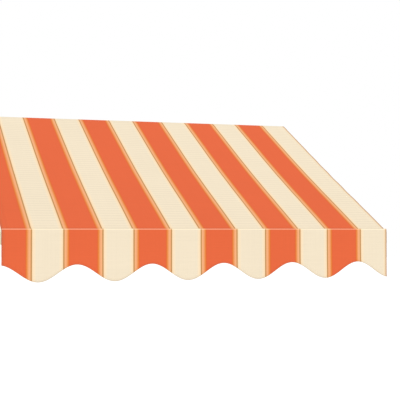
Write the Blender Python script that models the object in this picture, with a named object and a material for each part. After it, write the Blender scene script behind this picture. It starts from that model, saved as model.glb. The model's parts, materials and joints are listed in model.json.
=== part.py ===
"""Folding-arm awning: a striped fabric canopy and a scalloped valance on a cream wall frame.

Metres, +Z up. The wall is the plane Y = 0 and the awning reaches out along -Y. The origin lies on
the wall, at mid width, level with the torsion bar's axis.
"""

import math

import bmesh
import bpy
from mathutils import Matrix, Vector

# Fabric
FABRIC_WIDTH = 2.0
FABRIC_THICK = 0.0012
FOLD_REACH = 1.4035  # level distance from the roller's axis to the front fold
FOLD_DROP = 0.638  # height of the roller's axis above the front fold
HEM_DROP = 0.211  # from the front fold down to the middle line of the wavy hem
WAVE_HEIGHT = 0.041  # from the hem's middle line to an arch top or a scallop bottom
WAVE_LENGTH = 0.369
WAVE_PEAK_X = -0.6445  # an arch top of the hem
WAVE_STEPS = 16  # points in one wave
BEND_STEPS = 8  # points in the valance's bend over the rail

# Clearances
GAP = 0.0003  # between two pieces that touch
TURN_GAP = 0.00035  # all round a pin in its hole

# Torsion bar
BAR_SIZE = 0.040
BAR_WALL = 0.0025
BAR_Y = -0.040
BAR_Z = 0.0
BAR_CORNER = 0.004

# Roller
ROLLER_Y = -0.075
ROLLER_Z = 0.085
TUBE_RADIUS = 0.035
TUBE_WALL = 0.0015
ROLL_THICK = 0.0022  # the turns of fabric left on the tube when the awning is out
CAP_FLANGE = 0.003
CAP_PLUG = 0.030
PIN_RADIUS = 0.006
SQUARE_SIZE = 0.0084  # the drive pin's square end

# End brackets of the roller
END_ROOM = 0.0043  # from the fabric's edge to the bracket plate
PLATE_THICK = 0.006
PLATE_HEAD_RADIUS = 0.030
PLATE_FOOT = 0.046  # side of the square foot that covers the bar's end
SPIGOT_LENGTH = 0.045
BUSH_WALL = 0.004
BUSH_FLANGE = 0.0034
BUSH_FLANGE_RADIUS = 0.014
END_SCREW_RADIUS = 0.0025
END_SCREW_HEAD_RADIUS = 0.0045
END_SCREW_LENGTH = 0.012

# Crank gear
WHEEL_RADIUS = 0.018
WHEEL_THICK = 0.012
WORM_RADIUS = 0.0055
WORM_LENGTH = 0.026
CASE_DEPTH = 0.027
CASE_WALL = 0.003
CASE_RADIUS = 0.0295
CASE_HALF_HEIGHT = 0.0225
EYE_SHAFT_RADIUS = 0.004
EYE_SHAFT_LENGTH = 0.078
EYE_RING_RADIUS = 0.013  # to the middle of the wire
EYE_WIRE_RADIUS = 0.0035
GEAR_SCREW_RADIUS = 0.002
GEAR_SCREW_HEAD_RADIUS = 0.0037
GEAR_SCREW_CIRCLE = 0.024
GEAR_SCREW_TURN = math.radians(40)

# Wall brackets
WALL_BRACKET_INSET = 0.380  # from the fabric's edge to the bracket's middle
WALL_BRACKET_WIDTH = 0.070
WALL_PLATE_THICK = 0.008
WALL_PLATE_TOP = 0.080
WALL_PLATE_BOTTOM = -0.085
WALL_PLATE_WIDTH = 0.100
WALL_HOLE_RADIUS = 0.006
WALL_HOLE_Z = (0.060, -0.068)
CLAMP_WALL = 0.012  # thickness of what closes round the bar
JAW_TAB = 0.014  # how far the jaw reaches below the bar's seat
BOLT_RADIUS = 0.004
BOLT_HEAD_RADIUS = 0.0075
BOLT_HEAD = 0.005
BOLT_GRIP = 0.016  # how far the jaw bolt reaches into the bracket

# Arms
ARM_INSET = 0.200  # from the fabric's edge to the shoulder and front axes
SHOULDER_Y = -0.135
SHOULDER_Z = -0.030
REST_ANGLE = math.radians(8)  # each arm half off the straight line, awning fully out
ELBOW_OFFSET = 0.020  # from the elbow's axis to the middle of the tubes, so that they fold flat
TONGUE = 0.016
KNUCKLE_RADIUS = 0.016
SHOULDER_PLATE_RADIUS = 0.020
HINGE_PIN_RADIUS = 0.005
HINGE_PIN_HEAD_RADIUS = 0.009
HINGE_PIN_HEAD = 0.003
NECK = 0.024  # from a shoulder or front axis to the flange of the knuckle
ELBOW_NECK = 0.0175  # from the elbow's axis to the flange
FLANGE = 0.010
SPIGOT = 0.040
ARM_CORNER = 0.006
REAR_WIDTH = 0.036
REAR_HEIGHT = 0.040
FRONT_WIDTH = 0.032
FRONT_HEIGHT = 0.034
ARM_WALL = 0.002
ARM_BRACKET_WIDTH = 0.056
NOSE_BACK = 0.022  # from the shoulder's axis back to the web of its fork

# Springs in the rear arms
SPRING_RADIUS = 0.011
SPRING_WIRE_RADIUS = 0.0015
SPRING_LENGTH = 0.240
SPRING_TURNS = 18
SPRING_STEPS = 6  # stretches of wire in one turn
SPRING_WIRE_SIDES = 4
CABLE_RADIUS = 0.0015
CABLE_DISC_RADIUS = 0.0125
CABLE_DISC = 0.004

# Front rail
RAIL_HEIGHT = 0.070
RAIL_DEPTH = 0.042
RAIL_WALL = 0.0025
RAIL_CORNER = 0.003
RAIL_BELOW_FOLD = 0.005
VALANCE_ROOM = 0.0023  # between the rail's front face and the valance
CHANNEL_RADIUS = 0.004
CHANNEL_SLOT = 0.0026
CHANNEL_LIP = 0.0016
CHANNEL_SPACING = 0.0125
CHANNEL_FLOOR = 0.003
HEM_LOOP_RADIUS = 0.0034
KEDER_RADIUS = 0.002
FRONT_PIVOT_OUT = 0.0276  # behind the rail's back face
FRONT_PIVOT_DOWN = 0.027  # below the rail's top
FRONT_BRACKET_WIDTH = 0.050
FRONT_BRACKET_BASE = 0.005
FRONT_PLATE_RADIUS = 0.015
FRONT_WEB = 0.0165  # from the front axis to the web of its fork
RAIL_CAP_THICK = 0.003
RAIL_CAP_PLUG = 0.020
RAIL_BOLT_RADIUS = 0.003
RAIL_BOLT_HEAD_RADIUS = 0.0055
RAIL_BOLT_DOWN = 0.019  # below the front axis

ROUND_SIDES = 32
PIN_SIDES = 24
SMALL_SIDES = 12
WIRE_SIDES = 8
HEM_SIDES = 16

# Worked out from the sizes above
ROLL_RADIUS = TUBE_RADIUS + GAP + ROLL_THICK
FOLD_Y = ROLLER_Y - FOLD_REACH
FOLD_Z = ROLLER_Z - FOLD_DROP
RAIL_FRONT_Y = FOLD_Y + FABRIC_THICK + VALANCE_ROOM
RAIL_BACK_Y = RAIL_FRONT_Y + RAIL_DEPTH
RAIL_TOP_Z = FOLD_Z - RAIL_BELOW_FOLD
FRONT_Y = RAIL_BACK_Y + FRONT_PIVOT_OUT
FRONT_Z = RAIL_TOP_Z - FRONT_PIVOT_DOWN
ARM_PITCH = math.atan2(SHOULDER_Z - FRONT_Z, SHOULDER_Y - FRONT_Y)
ARM_REACH = math.hypot(SHOULDER_Z - FRONT_Z, SHOULDER_Y - FRONT_Y)
ARM_LENGTH = ARM_REACH / (2 * math.cos(REST_ANGLE))  # from axis to axis
TUBE_TURN = math.asin(ELBOW_OFFSET / ARM_LENGTH)
ARM_RUN = ARM_LENGTH * math.cos(TUBE_TURN)
FABRIC_EDGE = FABRIC_WIDTH / 2
SHOULDER_X = FABRIC_EDGE - ARM_INSET
WALL_BRACKET_X = FABRIC_EDGE - WALL_BRACKET_INSET
PLATE_X = FABRIC_EDGE + END_ROOM
PLATE_OUTER_X = PLATE_X + PLATE_THICK
VALANCE_NECK_Y = RAIL_FRONT_Y + RAIL_WALL + CHANNEL_RADIUS
CANOPY_NECK_Y = VALANCE_NECK_Y + CHANNEL_SPACING
CHANNEL_DEPTH = CHANNEL_RADIUS * math.cos(math.asin(CHANNEL_SLOT / 2 / CHANNEL_RADIUS))
CHANNEL_Z = RAIL_TOP_Z - CHANNEL_LIP - CHANNEL_DEPTH
HEM_Z = FOLD_Z - HEM_DROP
HEM_SPARE = 2 * WAVE_HEIGHT  # cloth below the hem's middle line before the wave is cut

for thing in list(bpy.data.objects):
    bpy.data.objects.remove(thing, do_unlink=True)


def coat(name, colour, metallic, roughness):
    """A material of one colour."""
    material = bpy.data.materials.new(name)
    material.use_nodes = True
    shader = material.node_tree.nodes["Principled BSDF"]
    shader.inputs["Base Color"].default_value = (*colour, 1.0)
    shader.inputs["Metallic"].default_value = metallic
    shader.inputs["Roughness"].default_value = roughness
    return material


CREAM_COAT = coat("cream_coat", (0.84, 0.77, 0.62), 0.0, 0.45)
STEEL = coat("zinc_steel", (0.55, 0.55, 0.56), 1.0, 0.35)
SPRING_STEEL = coat("spring_steel", (0.20, 0.20, 0.21), 1.0, 0.4)
CREAM_PLASTIC = coat("cream_plastic", (0.80, 0.73, 0.58), 0.0, 0.55)
DARK_PLASTIC = coat("dark_plastic", (0.05, 0.05, 0.055), 0.0, 0.5)
ORANGE_FABRIC = coat("orange_fabric", (0.82, 0.15, 0.06), 0.0, 0.9)
CREAM_FABRIC = coat("cream_fabric", (0.90, 0.77, 0.57), 0.0, 0.9)


def extruded(outline, low, high, along):
    """A prism: the outline is (y, z) along X, (x, z) along Y and (x, y) along Z."""
    order = {"X": (2, 0, 1), "Y": (0, 2, 1), "Z": (0, 1, 2)}[along]
    shape = bmesh.new()
    corners = [shape.verts.new([(a, b, low)[i] for i in order]) for a, b in outline]
    grown = bmesh.ops.extrude_face_region(shape, geom=[shape.faces.new(corners)])
    raised = [item for item in grown["geom"] if isinstance(item, bmesh.types.BMVert)]
    bmesh.ops.translate(shape, verts=raised, vec=[(0, 0, high - low)[i] for i in order])
    return moved(shape, Matrix())


def box(low, high):
    """A block between two corners."""
    outline = [(low[0], low[1]), (high[0], low[1]), (high[0], high[1]), (low[0], high[1])]
    return extruded(outline, low[2], high[2], "Z")


def turned(profile, sides, along="Z", at=(0, 0, 0), ring=False):
    """A body of revolution from (radius, height) points; a ring's last point joins its first."""
    shape = bmesh.new()
    angles = [2 * math.pi * i / sides for i in range(sides)]
    rings = []
    for radius, height in profile:
        if radius == 0:
            rings.append([shape.verts.new((0, 0, height))])
        else:
            around = [(radius * math.cos(t), radius * math.sin(t), height) for t in angles]
            rings.append([shape.verts.new(point) for point in around])
    for low, high in zip(rings, rings[1:] + rings[: 1 if ring else 0]):
        for i in range(sides):
            j = (i + 1) % sides
            corners = (low[i % len(low)], low[j % len(low)], high[j % len(high)], high[i % len(high)])
            shape.faces.new(list(dict.fromkeys(corners)))
    turns = {
        "X": Matrix.Rotation(math.pi / 2, 4, "Y"),
        "Y": Matrix.Rotation(-math.pi / 2, 4, "X"),
        "Z": Matrix(),
    }
    return moved(shape, Matrix.Translation(at) @ turns[along])


def rod(radius, low, high, along="Z", at=(0, 0, 0), sides=PIN_SIDES):
    """A plain round bar from low to high along an axis."""
    return turned([(0, low), (radius, low), (radius, high), (0, high)], sides, along, at)


def headed(radius, low, high, head_radius, head_high, along="Z", at=(0, 0, 0), sides=PIN_SIDES):
    """A bar from low to high with a larger head from high to head_high."""
    shank = [(0, low), (radius, low), (radius, high)]
    head = [(head_radius, high), (head_radius, head_high), (0, head_high)]
    return turned(shank + head, sides, along, at)


def rounded(width, height, corner, centre=(0, 0), steps=3):
    """A rectangle with round corners."""
    points = []
    for quarter, (sx, sy) in enumerate([(1, 1), (-1, 1), (-1, -1), (1, -1)]):
        middle = (centre[0] + sx * (width / 2 - corner), centre[1] + sy * (height / 2 - corner))
        for step in range(steps + 1):
            angle = (quarter + step / steps) * math.pi / 2
            points.append((middle[0] + corner * math.cos(angle), middle[1] + corner * math.sin(angle)))
    return points


def circle(radius, centre=(0, 0), sides=PIN_SIDES):
    """Points round a circle."""
    angles = [2 * math.pi * i / sides for i in range(sides)]
    return [(centre[0] + radius * math.cos(t), centre[1] + radius * math.sin(t)) for t in angles]


def hull(points):
    """The convex outline round some points in a plane."""
    ordered = sorted(set(points))

    def chain(run):
        kept = []
        for point in run:
            while len(kept) > 1 and turns_right(kept[-2], kept[-1], point):
                kept.pop()
            kept.append(point)
        return kept[:-1]

    return chain(ordered) + chain(ordered[::-1])


def turns_right(a, b, c):
    return (b[0] - a[0]) * (c[1] - a[1]) <= (b[1] - a[1]) * (c[0] - a[0])


def ribbon(line, thickness):
    """The outline of a strip of even thickness about a line of points."""
    sides = ([], [])
    for i, point in enumerate(line):
        before = Vector(line[i]) - Vector(line[i - 1]) if i else Vector(line[1]) - Vector(line[0])
        after = Vector(line[i + 1]) - Vector(line[i]) if i + 1 < len(line) else before
        normal = (before.normalized() + after.normalized()).orthogonal().normalized()
        reach = thickness / 2 / abs(normal.dot(before.normalized().orthogonal()))
        for side, sign in zip(sides, (1, -1)):
            side.append((point[0] + sign * reach * normal.x, point[1] + sign * reach * normal.y))
    return sides[0] + sides[1][::-1]


def moved(shape, matrix):
    """The same shape in another frame, with its faces still pointing out."""
    shape.transform(matrix)
    shape.normal_update()
    bmesh.ops.recalc_face_normals(shape, faces=shape.faces)
    return shape


def add_object(name, shape, parent):
    mesh = bpy.data.meshes.new(name)
    shape.to_mesh(mesh)
    shape.free()
    piece = bpy.data.objects.new(name, mesh)
    bpy.context.scene.collection.objects.link(piece)
    piece.parent = parent
    return piece


def make(name, shape, material, parent=None, at=(0, 0, 0), joins=(), cuts=()):
    """One named piece. Joins are added to its shape first, and then cuts are taken from it."""
    piece = add_object(name, shape, parent)
    piece.location = at
    piece.data.materials.append(material)
    piece.data.shade_smooth()
    piece.data.set_sharp_from_angle(angle=math.radians(30))
    for operation, others in (("UNION", joins), ("DIFFERENCE", cuts)):
        for i, other in enumerate(others):
            helper = add_object(f"{operation.lower()}_{i}_{name}", other, piece)
            helper.hide_render = True
            helper.display_type = "WIRE"
            boolean = piece.modifiers.new(helper.name, "BOOLEAN")
            boolean.operation = operation
            boolean.object = helper
    return piece


def frame_at(name, at, parent=None, turn=(0, 0, 0)):
    """An empty on an axis, which carries the pieces that turn about it."""
    empty = bpy.data.objects.new(name, None)
    bpy.context.scene.collection.objects.link(empty)
    empty.location = at
    empty.rotation_euler = turn
    empty.parent = parent
    return empty


SIDES = (("left", -1), ("right", 1))

def end_screw_hole(side, y=0, z=0):
    """The cutter of the screw hole below the bar's end, through the bar's wall and the spigot."""
    x = side * (PLATE_X - SPIGOT_LENGTH / 2)
    return rod(END_SCREW_RADIUS + TURN_GAP, -BAR_SIZE, 0, at=(x, y, z), sides=SMALL_SIDES)


# Torsion bar: the square tube that carries everything, closed by the end brackets' spigots
BAR_INSIDE = BAR_SIZE - 2 * BAR_WALL
make(
    "torsion_bar",
    extruded(rounded(BAR_SIZE, BAR_SIZE, BAR_CORNER, steps=2), -PLATE_X + GAP, PLATE_X - GAP, "X"),
    CREAM_COAT,
    at=(0, BAR_Y, BAR_Z),
    cuts=[
        extruded(rounded(BAR_INSIDE, BAR_INSIDE, BAR_WALL, steps=1), -PLATE_OUTER_X, PLATE_OUTER_X, "X"),
        *[end_screw_hole(side) for _, side in SIDES],
    ],
)


def bolt_hole(low, high, y, z):
    """The cutter of a clamp bolt's hole along Y."""
    return rod(BOLT_RADIUS + TURN_GAP, low, high, "Y", (0, y, z))


def wall_bracket(side_name, side):
    """A wall plate with a seat for the bar, a jaw that closes over it, and the bolt that clamps them."""
    x = side * WALL_BRACKET_X
    half = WALL_BRACKET_WIDTH / 2
    seat = BAR_SIZE / 2 + GAP
    outer = seat + CLAMP_WALL
    behind = BAR_Y + seat
    front = BAR_Y - seat
    plate = box(
        (-WALL_PLATE_WIDTH / 2, -WALL_PLATE_THICK, WALL_PLATE_BOTTOM),
        (WALL_PLATE_WIDTH / 2, 0, WALL_PLATE_TOP),
    )
    wall_holes = [
        rod(WALL_HOLE_RADIUS, -2 * WALL_PLATE_THICK, WALL_PLATE_THICK, "Y", (0, 0, z)) for z in WALL_HOLE_Z
    ]
    back_block = box((-half, behind, BAR_Z - outer), (half, -WALL_PLATE_THICK / 2, BAR_Z + outer))
    seat_block = box((-half, front, BAR_Z - outer - JAW_TAB), (half, -WALL_PLATE_THICK / 2, BAR_Z - seat))
    bolt_z = BAR_Z - seat - (CLAMP_WALL + JAW_TAB) / 2
    make(
        f"{side_name}_wall_bracket",
        plate,
        CREAM_COAT,
        at=(x, 0, 0),
        joins=[back_block, seat_block],
        cuts=[bolt_hole(-CLAMP_WALL, BOLT_GRIP + GAP, front, bolt_z), *wall_holes],
    )
    jaw_front = front - CLAMP_WALL - GAP
    leg = box((-half, jaw_front, BAR_Z - outer - JAW_TAB), (half, front - GAP, BAR_Z + outer + GAP))
    top = box((-half, front - CLAMP_WALL / 2, BAR_Z + seat), (half, behind - GAP, BAR_Z + outer + GAP))
    make(
        f"{side_name}_bracket_jaw",
        leg,
        CREAM_COAT,
        at=(x, 0, 0),
        joins=[top],
        cuts=[bolt_hole(-2 * CLAMP_WALL, 2 * CLAMP_WALL, front, bolt_z)],
    )
    head = front - jaw_front + GAP
    bolt = headed(BOLT_RADIUS, -BOLT_GRIP, head, BOLT_HEAD_RADIUS, head + BOLT_HEAD)
    bolt.transform(Matrix.Translation((0, front, bolt_z)) @ Matrix.Rotation(math.pi / 2, 4, "X"))
    make(f"{side_name}_jaw_bolt", bolt, STEEL, at=(x, 0, 0))


for side_name, side in SIDES:
    wall_bracket(side_name, side)


def end_bracket(side_name, side):
    """A plate on the bar's end that carries the roller, with its bush and its screw."""
    foot = PLATE_FOOT / 2
    corners = [(BAR_Y + sy * foot, BAR_Z + sz * foot) for sy in (1, -1) for sz in (1, -1)]
    outline = hull(circle(PLATE_HEAD_RADIUS, (ROLLER_Y, ROLLER_Z), ROUND_SIDES) + corners)
    inner, outer = sorted((side * PLATE_X, side * PLATE_OUTER_X))
    plug = BAR_SIZE - 2 * (BAR_WALL + GAP)
    spigot_ends = sorted((side * (PLATE_X - SPIGOT_LENGTH), side * (PLATE_X + PLATE_THICK / 2)))
    spigot = extruded(rounded(plug, plug, BAR_WALL, (BAR_Y, BAR_Z), steps=1), *spigot_ends, "X")
    screw_x = side * (PLATE_X - SPIGOT_LENGTH / 2)
    bush_radius = PIN_RADIUS + TURN_GAP + BUSH_WALL
    through = 2 * PLATE_THICK
    cuts = [
        rod(bush_radius + GAP, -through, through, "X", (side * PLATE_X, ROLLER_Y, ROLLER_Z)),
        end_screw_hole(side, BAR_Y, BAR_Z),
    ]
    if side < 0:
        cuts += gear_screw_holes(-PLATE_X - through, -PLATE_X + through)
    plate = extruded(outline, inner, outer, "X")
    make(f"{side_name}_end_bracket", plate, CREAM_COAT, joins=[spigot], cuts=cuts)

    top = BAR_Z - BAR_SIZE / 2 - GAP
    screw = headed(
        END_SCREW_RADIUS, -END_SCREW_LENGTH, 0, END_SCREW_HEAD_RADIUS, END_SCREW_RADIUS, sides=SMALL_SIDES
    )
    screw.transform(Matrix.Translation((screw_x, BAR_Y, top)) @ Matrix.Rotation(math.pi, 4, "X"))
    make(f"{side_name}_end_screw", screw, STEEL)

    bore = PIN_RADIUS + TURN_GAP
    profile = [
        (bore, -BUSH_FLANGE),
        (BUSH_FLANGE_RADIUS, -BUSH_FLANGE),
        (BUSH_FLANGE_RADIUS, -GAP),
        (bush_radius, -GAP),
        (bush_radius, PLATE_THICK),
        (bore, PLATE_THICK),
    ]
    around = [(radius, side * height) for radius, height in profile]
    bush = turned(around, PIN_SIDES, "X", (side * PLATE_X, ROLLER_Y, ROLLER_Z), ring=True)
    make(f"{side_name}_roller_bush", bush, DARK_PLASTIC)


def gear_screw_places():
    """Where the two screws of the crank gear go through the left end bracket, as (y, z)."""
    return [
        (ROLLER_Y + GEAR_SCREW_CIRCLE * math.cos(turn), ROLLER_Z + GEAR_SCREW_CIRCLE * math.sin(turn))
        for turn in (GEAR_SCREW_TURN, -GEAR_SCREW_TURN)
    ]


def gear_screw_holes(low, high):
    """The cutters of those two screws' holes, from low to high along X."""
    radius = GEAR_SCREW_RADIUS + TURN_GAP
    return [rod(radius, low, high, "X", (0, y, z), SMALL_SIDES) for y, z in gear_screw_places()]


for side_name, side in SIDES:
    end_bracket(side_name, side)

# Roller: a tube with the fabric's last turns on it, between an idler cap and a driven cap
roller = frame_at("roller_axis", (0, ROLLER_Y, ROLLER_Z))
TUBE_END = FABRIC_EDGE - CAP_FLANGE - GAP
ROLL_INNER = (TUBE_RADIUS + GAP) / math.cos(math.pi / ROUND_SIDES)
make(
    "roller_tube",
    turned(
        [
            (TUBE_RADIUS - TUBE_WALL, -TUBE_END),
            (TUBE_RADIUS, -TUBE_END),
            (TUBE_RADIUS, TUBE_END),
            (TUBE_RADIUS - TUBE_WALL, TUBE_END),
        ],
        ROUND_SIDES,
        "X",
        ring=True,
    ),
    STEEL,
    parent=roller,
)
make(
    "fabric_roll",
    turned(
        [
            (ROLL_INNER, -FABRIC_EDGE),
            (ROLL_RADIUS, -FABRIC_EDGE),
            (ROLL_RADIUS, FABRIC_EDGE),
            (ROLL_INNER, FABRIC_EDGE),
        ],
        2 * ROUND_SIDES,
        "X",
        ring=True,
    ),
    ORANGE_FABRIC,
    parent=roller,
)


def roller_cap(name, side, pin_end, square_end=None):
    """A cap in the tube's end, with the pin that turns in the bush and, on the driven side, a square."""
    plug = (TUBE_RADIUS - TUBE_WALL - GAP) * math.cos(math.pi / ROUND_SIDES)
    profile = [
        (0, TUBE_END - CAP_PLUG),
        (plug, TUBE_END - CAP_PLUG),
        (plug, TUBE_END + GAP),
        (TUBE_RADIUS, TUBE_END + GAP),
        (TUBE_RADIUS, FABRIC_EDGE),
        (PIN_RADIUS, FABRIC_EDGE),
        (PIN_RADIUS, pin_end),
        (0, pin_end),
    ]
    joins = []
    if square_end:
        half = SQUARE_SIZE / 2
        ends = sorted((side * FABRIC_EDGE, side * square_end))
        joins.append(box((ends[0], -half, -half), (ends[1], half, half)))
    cap = turned([(r, side * h) for r, h in profile], ROUND_SIDES, "X")
    make(name, cap, CREAM_PLASTIC, parent=roller, joins=joins)


WHEEL_X = PLATE_OUTER_X + GAP + CASE_DEPTH / 2
roller_cap("idler_cap", 1, PLATE_OUTER_X)
roller_cap("drive_cap", -1, PLATE_OUTER_X + GAP, WHEEL_X + WHEEL_THICK / 2 + GAP)

# Crank gear: a wheel on the roller's square, driven by a worm that ends in the eye for the crank
half_hole = SQUARE_SIZE / 2 + GAP
make(
    "worm_wheel",
    rod(WHEEL_RADIUS, -WHEEL_X - WHEEL_THICK / 2, -WHEEL_X + WHEEL_THICK / 2, "X", sides=ROUND_SIDES),
    STEEL,
    parent=roller,
    cuts=[
        box((-WHEEL_X - WHEEL_THICK, -half_hole, -half_hole), (-WHEEL_X + WHEEL_THICK, half_hole, half_hole)),
    ],
)
WORM_Y = ROLLER_Y - WHEEL_RADIUS - WORM_RADIUS - GAP
crank = frame_at("crank_axis", (-WHEEL_X, WORM_Y, ROLLER_Z))
worm_bore = EYE_SHAFT_RADIUS + GAP
worm_half = WORM_LENGTH / 2
worm_inside = [(worm_bore, worm_half), (worm_bore, -worm_half)]
worm_outside = [(WORM_RADIUS, -worm_half), (WORM_RADIUS, worm_half)]
make("worm", turned(worm_inside + worm_outside, PIN_SIDES, ring=True), STEEL, parent=crank)


def eye_ring(centre_z):
    """The round wire loop at the foot of the crank shaft, standing in the plane of Y and Z."""
    profile = [
        (EYE_RING_RADIUS + EYE_WIRE_RADIUS * math.cos(t), EYE_WIRE_RADIUS * math.sin(t))
        for t in [2 * math.pi * i / WIRE_SIDES for i in range(WIRE_SIDES)]
    ]
    return turned(profile, PIN_SIDES, "X", (0, 0, centre_z), ring=True)


EYE_TOP = CASE_HALF_HEIGHT - CASE_WALL - GAP
EYE_FOOT = EYE_TOP - EYE_SHAFT_LENGTH
make(
    "crank_eye",
    rod(EYE_SHAFT_RADIUS, EYE_FOOT, EYE_TOP),
    STEEL,
    parent=crank,
    joins=[eye_ring(EYE_FOOT - EYE_RING_RADIUS)],
)
case_front = WORM_Y - WORM_RADIUS - CASE_WALL - GAP
case_inner_x = -PLATE_OUTER_X - GAP
case_outer_x = case_inner_x - CASE_DEPTH
case_outline = hull(
    circle(CASE_RADIUS, (ROLLER_Y, ROLLER_Z), ROUND_SIDES)
    + [(case_front, ROLLER_Z + CASE_HALF_HEIGHT), (case_front, ROLLER_Z - CASE_HALF_HEIGHT)]
)
inside_half = CASE_HALF_HEIGHT - CASE_WALL
inside_x = (case_outer_x + CASE_WALL, case_inner_x + CASE_WALL)
make(
    "gearbox_case",
    extruded(case_outline, case_outer_x, case_inner_x, "X"),
    CREAM_COAT,
    cuts=[
        rod(WHEEL_RADIUS + 2 * GAP, *inside_x, "X", (0, ROLLER_Y, ROLLER_Z), ROUND_SIDES),
        box(
            (inside_x[0], case_front + CASE_WALL, ROLLER_Z - inside_half),
            (inside_x[1], ROLLER_Y, ROLLER_Z + inside_half),
        ),
        rod(EYE_SHAFT_RADIUS + TURN_GAP, -2 * CASE_HALF_HEIGHT, 0, at=(-WHEEL_X, WORM_Y, ROLLER_Z)),
        *gear_screw_holes(case_outer_x - CASE_WALL, case_inner_x + CASE_WALL),
    ],
)
for place, (y, z) in zip(("upper", "lower"), gear_screw_places()):
    head = GAP - case_outer_x
    tip = head + GEAR_SCREW_RADIUS
    screw = headed(GEAR_SCREW_RADIUS, PLATE_X, head, GEAR_SCREW_HEAD_RADIUS, tip, sides=SMALL_SIDES)
    screw.transform(Matrix.Rotation(-math.pi / 2, 4, "Y"))
    make(f"{place}_gear_screw", screw, STEEL, at=(0, y, z))

# Arms: two halves on each side, in one plane that falls with the canopy
arm_plane = frame_at("arm_plane", (0, SHOULDER_Y, SHOULDER_Z), turn=(ARM_PITCH, 0, 0))
ARM_PLANE = Matrix.Translation((0, SHOULDER_Y, SHOULDER_Z)) @ Matrix.Rotation(ARM_PITCH, 4, "X")
INTO_ARM_PLANE = ARM_PLANE.inverted()


def fork_plates(outline, height):
    """The two plates of a fork, above and below the tongue that turns between them."""
    inner = TONGUE / 2 + GAP
    return [extruded(outline, inner, height / 2, "Z"), extruded(outline, -height / 2, -inner, "Z")]


def hinge_pin(name, height, parent, at):
    """A headed pin through a fork."""
    top = height / 2 + GAP
    pin = headed(HINGE_PIN_RADIUS, -top, top, HINGE_PIN_HEAD_RADIUS, top + HINGE_PIN_HEAD)
    make(name, pin, STEEL, parent, at)


def pin_hole(height, at=(0, 0, 0)):
    """The cutter of a hinge pin's hole, for a piece with PIN_SIDES sides to its holes."""
    return rod(HINGE_PIN_RADIUS + TURN_GAP, -height, height, at=at)


def arm_bracket(side_name, side):
    """A clamp round the torsion bar that ends in the shoulder's fork, with its bolt and pin."""
    x = side * SHOULDER_X
    half = ARM_BRACKET_WIDTH / 2
    seat = BAR_SIZE / 2 + GAP
    outer = seat + CLAMP_WALL
    ring = box((-half, BAR_Y - outer, BAR_Z - outer), (half, BAR_Y + outer - GAP, BAR_Z + outer))
    bar_hole = box((-half - GAP, BAR_Y - seat, BAR_Z - seat), (half + GAP, BAR_Y + seat, BAR_Z + seat))
    clamp_hole = rod(BOLT_RADIUS + TURN_GAP, -2 * outer, -seat / 2, at=(0, BAR_Y, BAR_Z))
    nose = box(
        (-SHOULDER_PLATE_RADIUS, NOSE_BACK, -REAR_HEIGHT / 2),
        (SHOULDER_PLATE_RADIUS, BAR_Y - SHOULDER_Y, REAR_HEIGHT / 2),
    )
    plate = hull(
        circle(SHOULDER_PLATE_RADIUS)
        + [(SHOULDER_PLATE_RADIUS, NOSE_BACK + GAP), (-SHOULDER_PLATE_RADIUS, NOSE_BACK + GAP)]
    )
    make(
        f"{side_name}_arm_bracket",
        moved(ring, INTO_ARM_PLANE),
        CREAM_COAT,
        arm_plane,
        (x, 0, 0),
        joins=[nose, *fork_plates(plate, REAR_HEIGHT)],
        cuts=[moved(bar_hole, INTO_ARM_PLANE), moved(clamp_hole, INTO_ARM_PLANE), pin_hole(REAR_HEIGHT)],
    )
    bolt = headed(BOLT_RADIUS, -CLAMP_WALL - GAP, 0, BOLT_HEAD_RADIUS, BOLT_HEAD)
    bolt.transform(Matrix.Translation((0, BAR_Y, BAR_Z - outer - GAP)) @ Matrix.Rotation(math.pi, 4, "X"))
    make(f"{side_name}_clamp_bolt", bolt, STEEL, at=(x, 0, 0))
    hinge_pin(f"{side_name}_shoulder_pin", REAR_HEIGHT, arm_plane, (x, 0, 0))


for side_name, side in SIDES:
    arm_bracket(side_name, side)


def tube_inside(width, height, clear):
    """The outline of an arm tube's bore, or of a spigot that clears it."""
    thick = 2 * (ARM_WALL + clear)
    return rounded(width - thick, height - thick, (ARM_CORNER - ARM_WALL) / 2, steps=1)


def knuckle(width, height, place):
    """The tongue at a shoulder or front axis, with the flange and spigot that close the tube."""
    neck = hull(circle(KNUCKLE_RADIUS) + [(sx * KNUCKLE_RADIUS, -NECK - FLANGE / 2) for sx in (1, -1)])
    end = NECK + FLANGE
    flange = extruded(rounded(width, height, ARM_CORNER), -end, -NECK, "Y")
    spigot = extruded(tube_inside(width, height, GAP), -end - SPIGOT, -end + FLANGE / 2, "Y")
    tongue = extruded(neck, -TONGUE / 2, TONGUE / 2, "Z")
    return [moved(shape, place) for shape in (flange, spigot, tongue)]


def elbow_casting(width, height, place, forked):
    """The fork or the tongue at the elbow, with its flange and spigot."""
    edge = -ARM_RUN + ELBOW_NECK
    root = edge + FLANGE / 2
    outline = hull(circle(KNUCKLE_RADIUS, (-ELBOW_OFFSET, -ARM_RUN)) + [(-width / 2, root), (width / 2, root)])
    end = edge + FLANGE
    flange = extruded(rounded(width, height, ARM_CORNER), edge, end, "Y")
    spigot = extruded(tube_inside(width, height, GAP), end - FLANGE / 2, end + SPIGOT, "Y")
    if forked:
        plates = fork_plates(outline, height)
    else:
        plates = [extruded(outline, -TONGUE / 2, TONGUE / 2, "Z")]
    return [moved(shape, place) for shape in (flange, spigot, *plates)]


def arm_tube(width, height, place):
    """A rounded square tube between the two castings."""
    start = -ARM_RUN + ELBOW_NECK + FLANGE + GAP
    end = -NECK - FLANGE - GAP
    outer = extruded(rounded(width, height, ARM_CORNER), start, end, "Y")
    bore = extruded(tube_inside(width, height, 0), start - FLANGE, end + FLANGE, "Y")
    return moved(outer, place), moved(bore, place)


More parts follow.
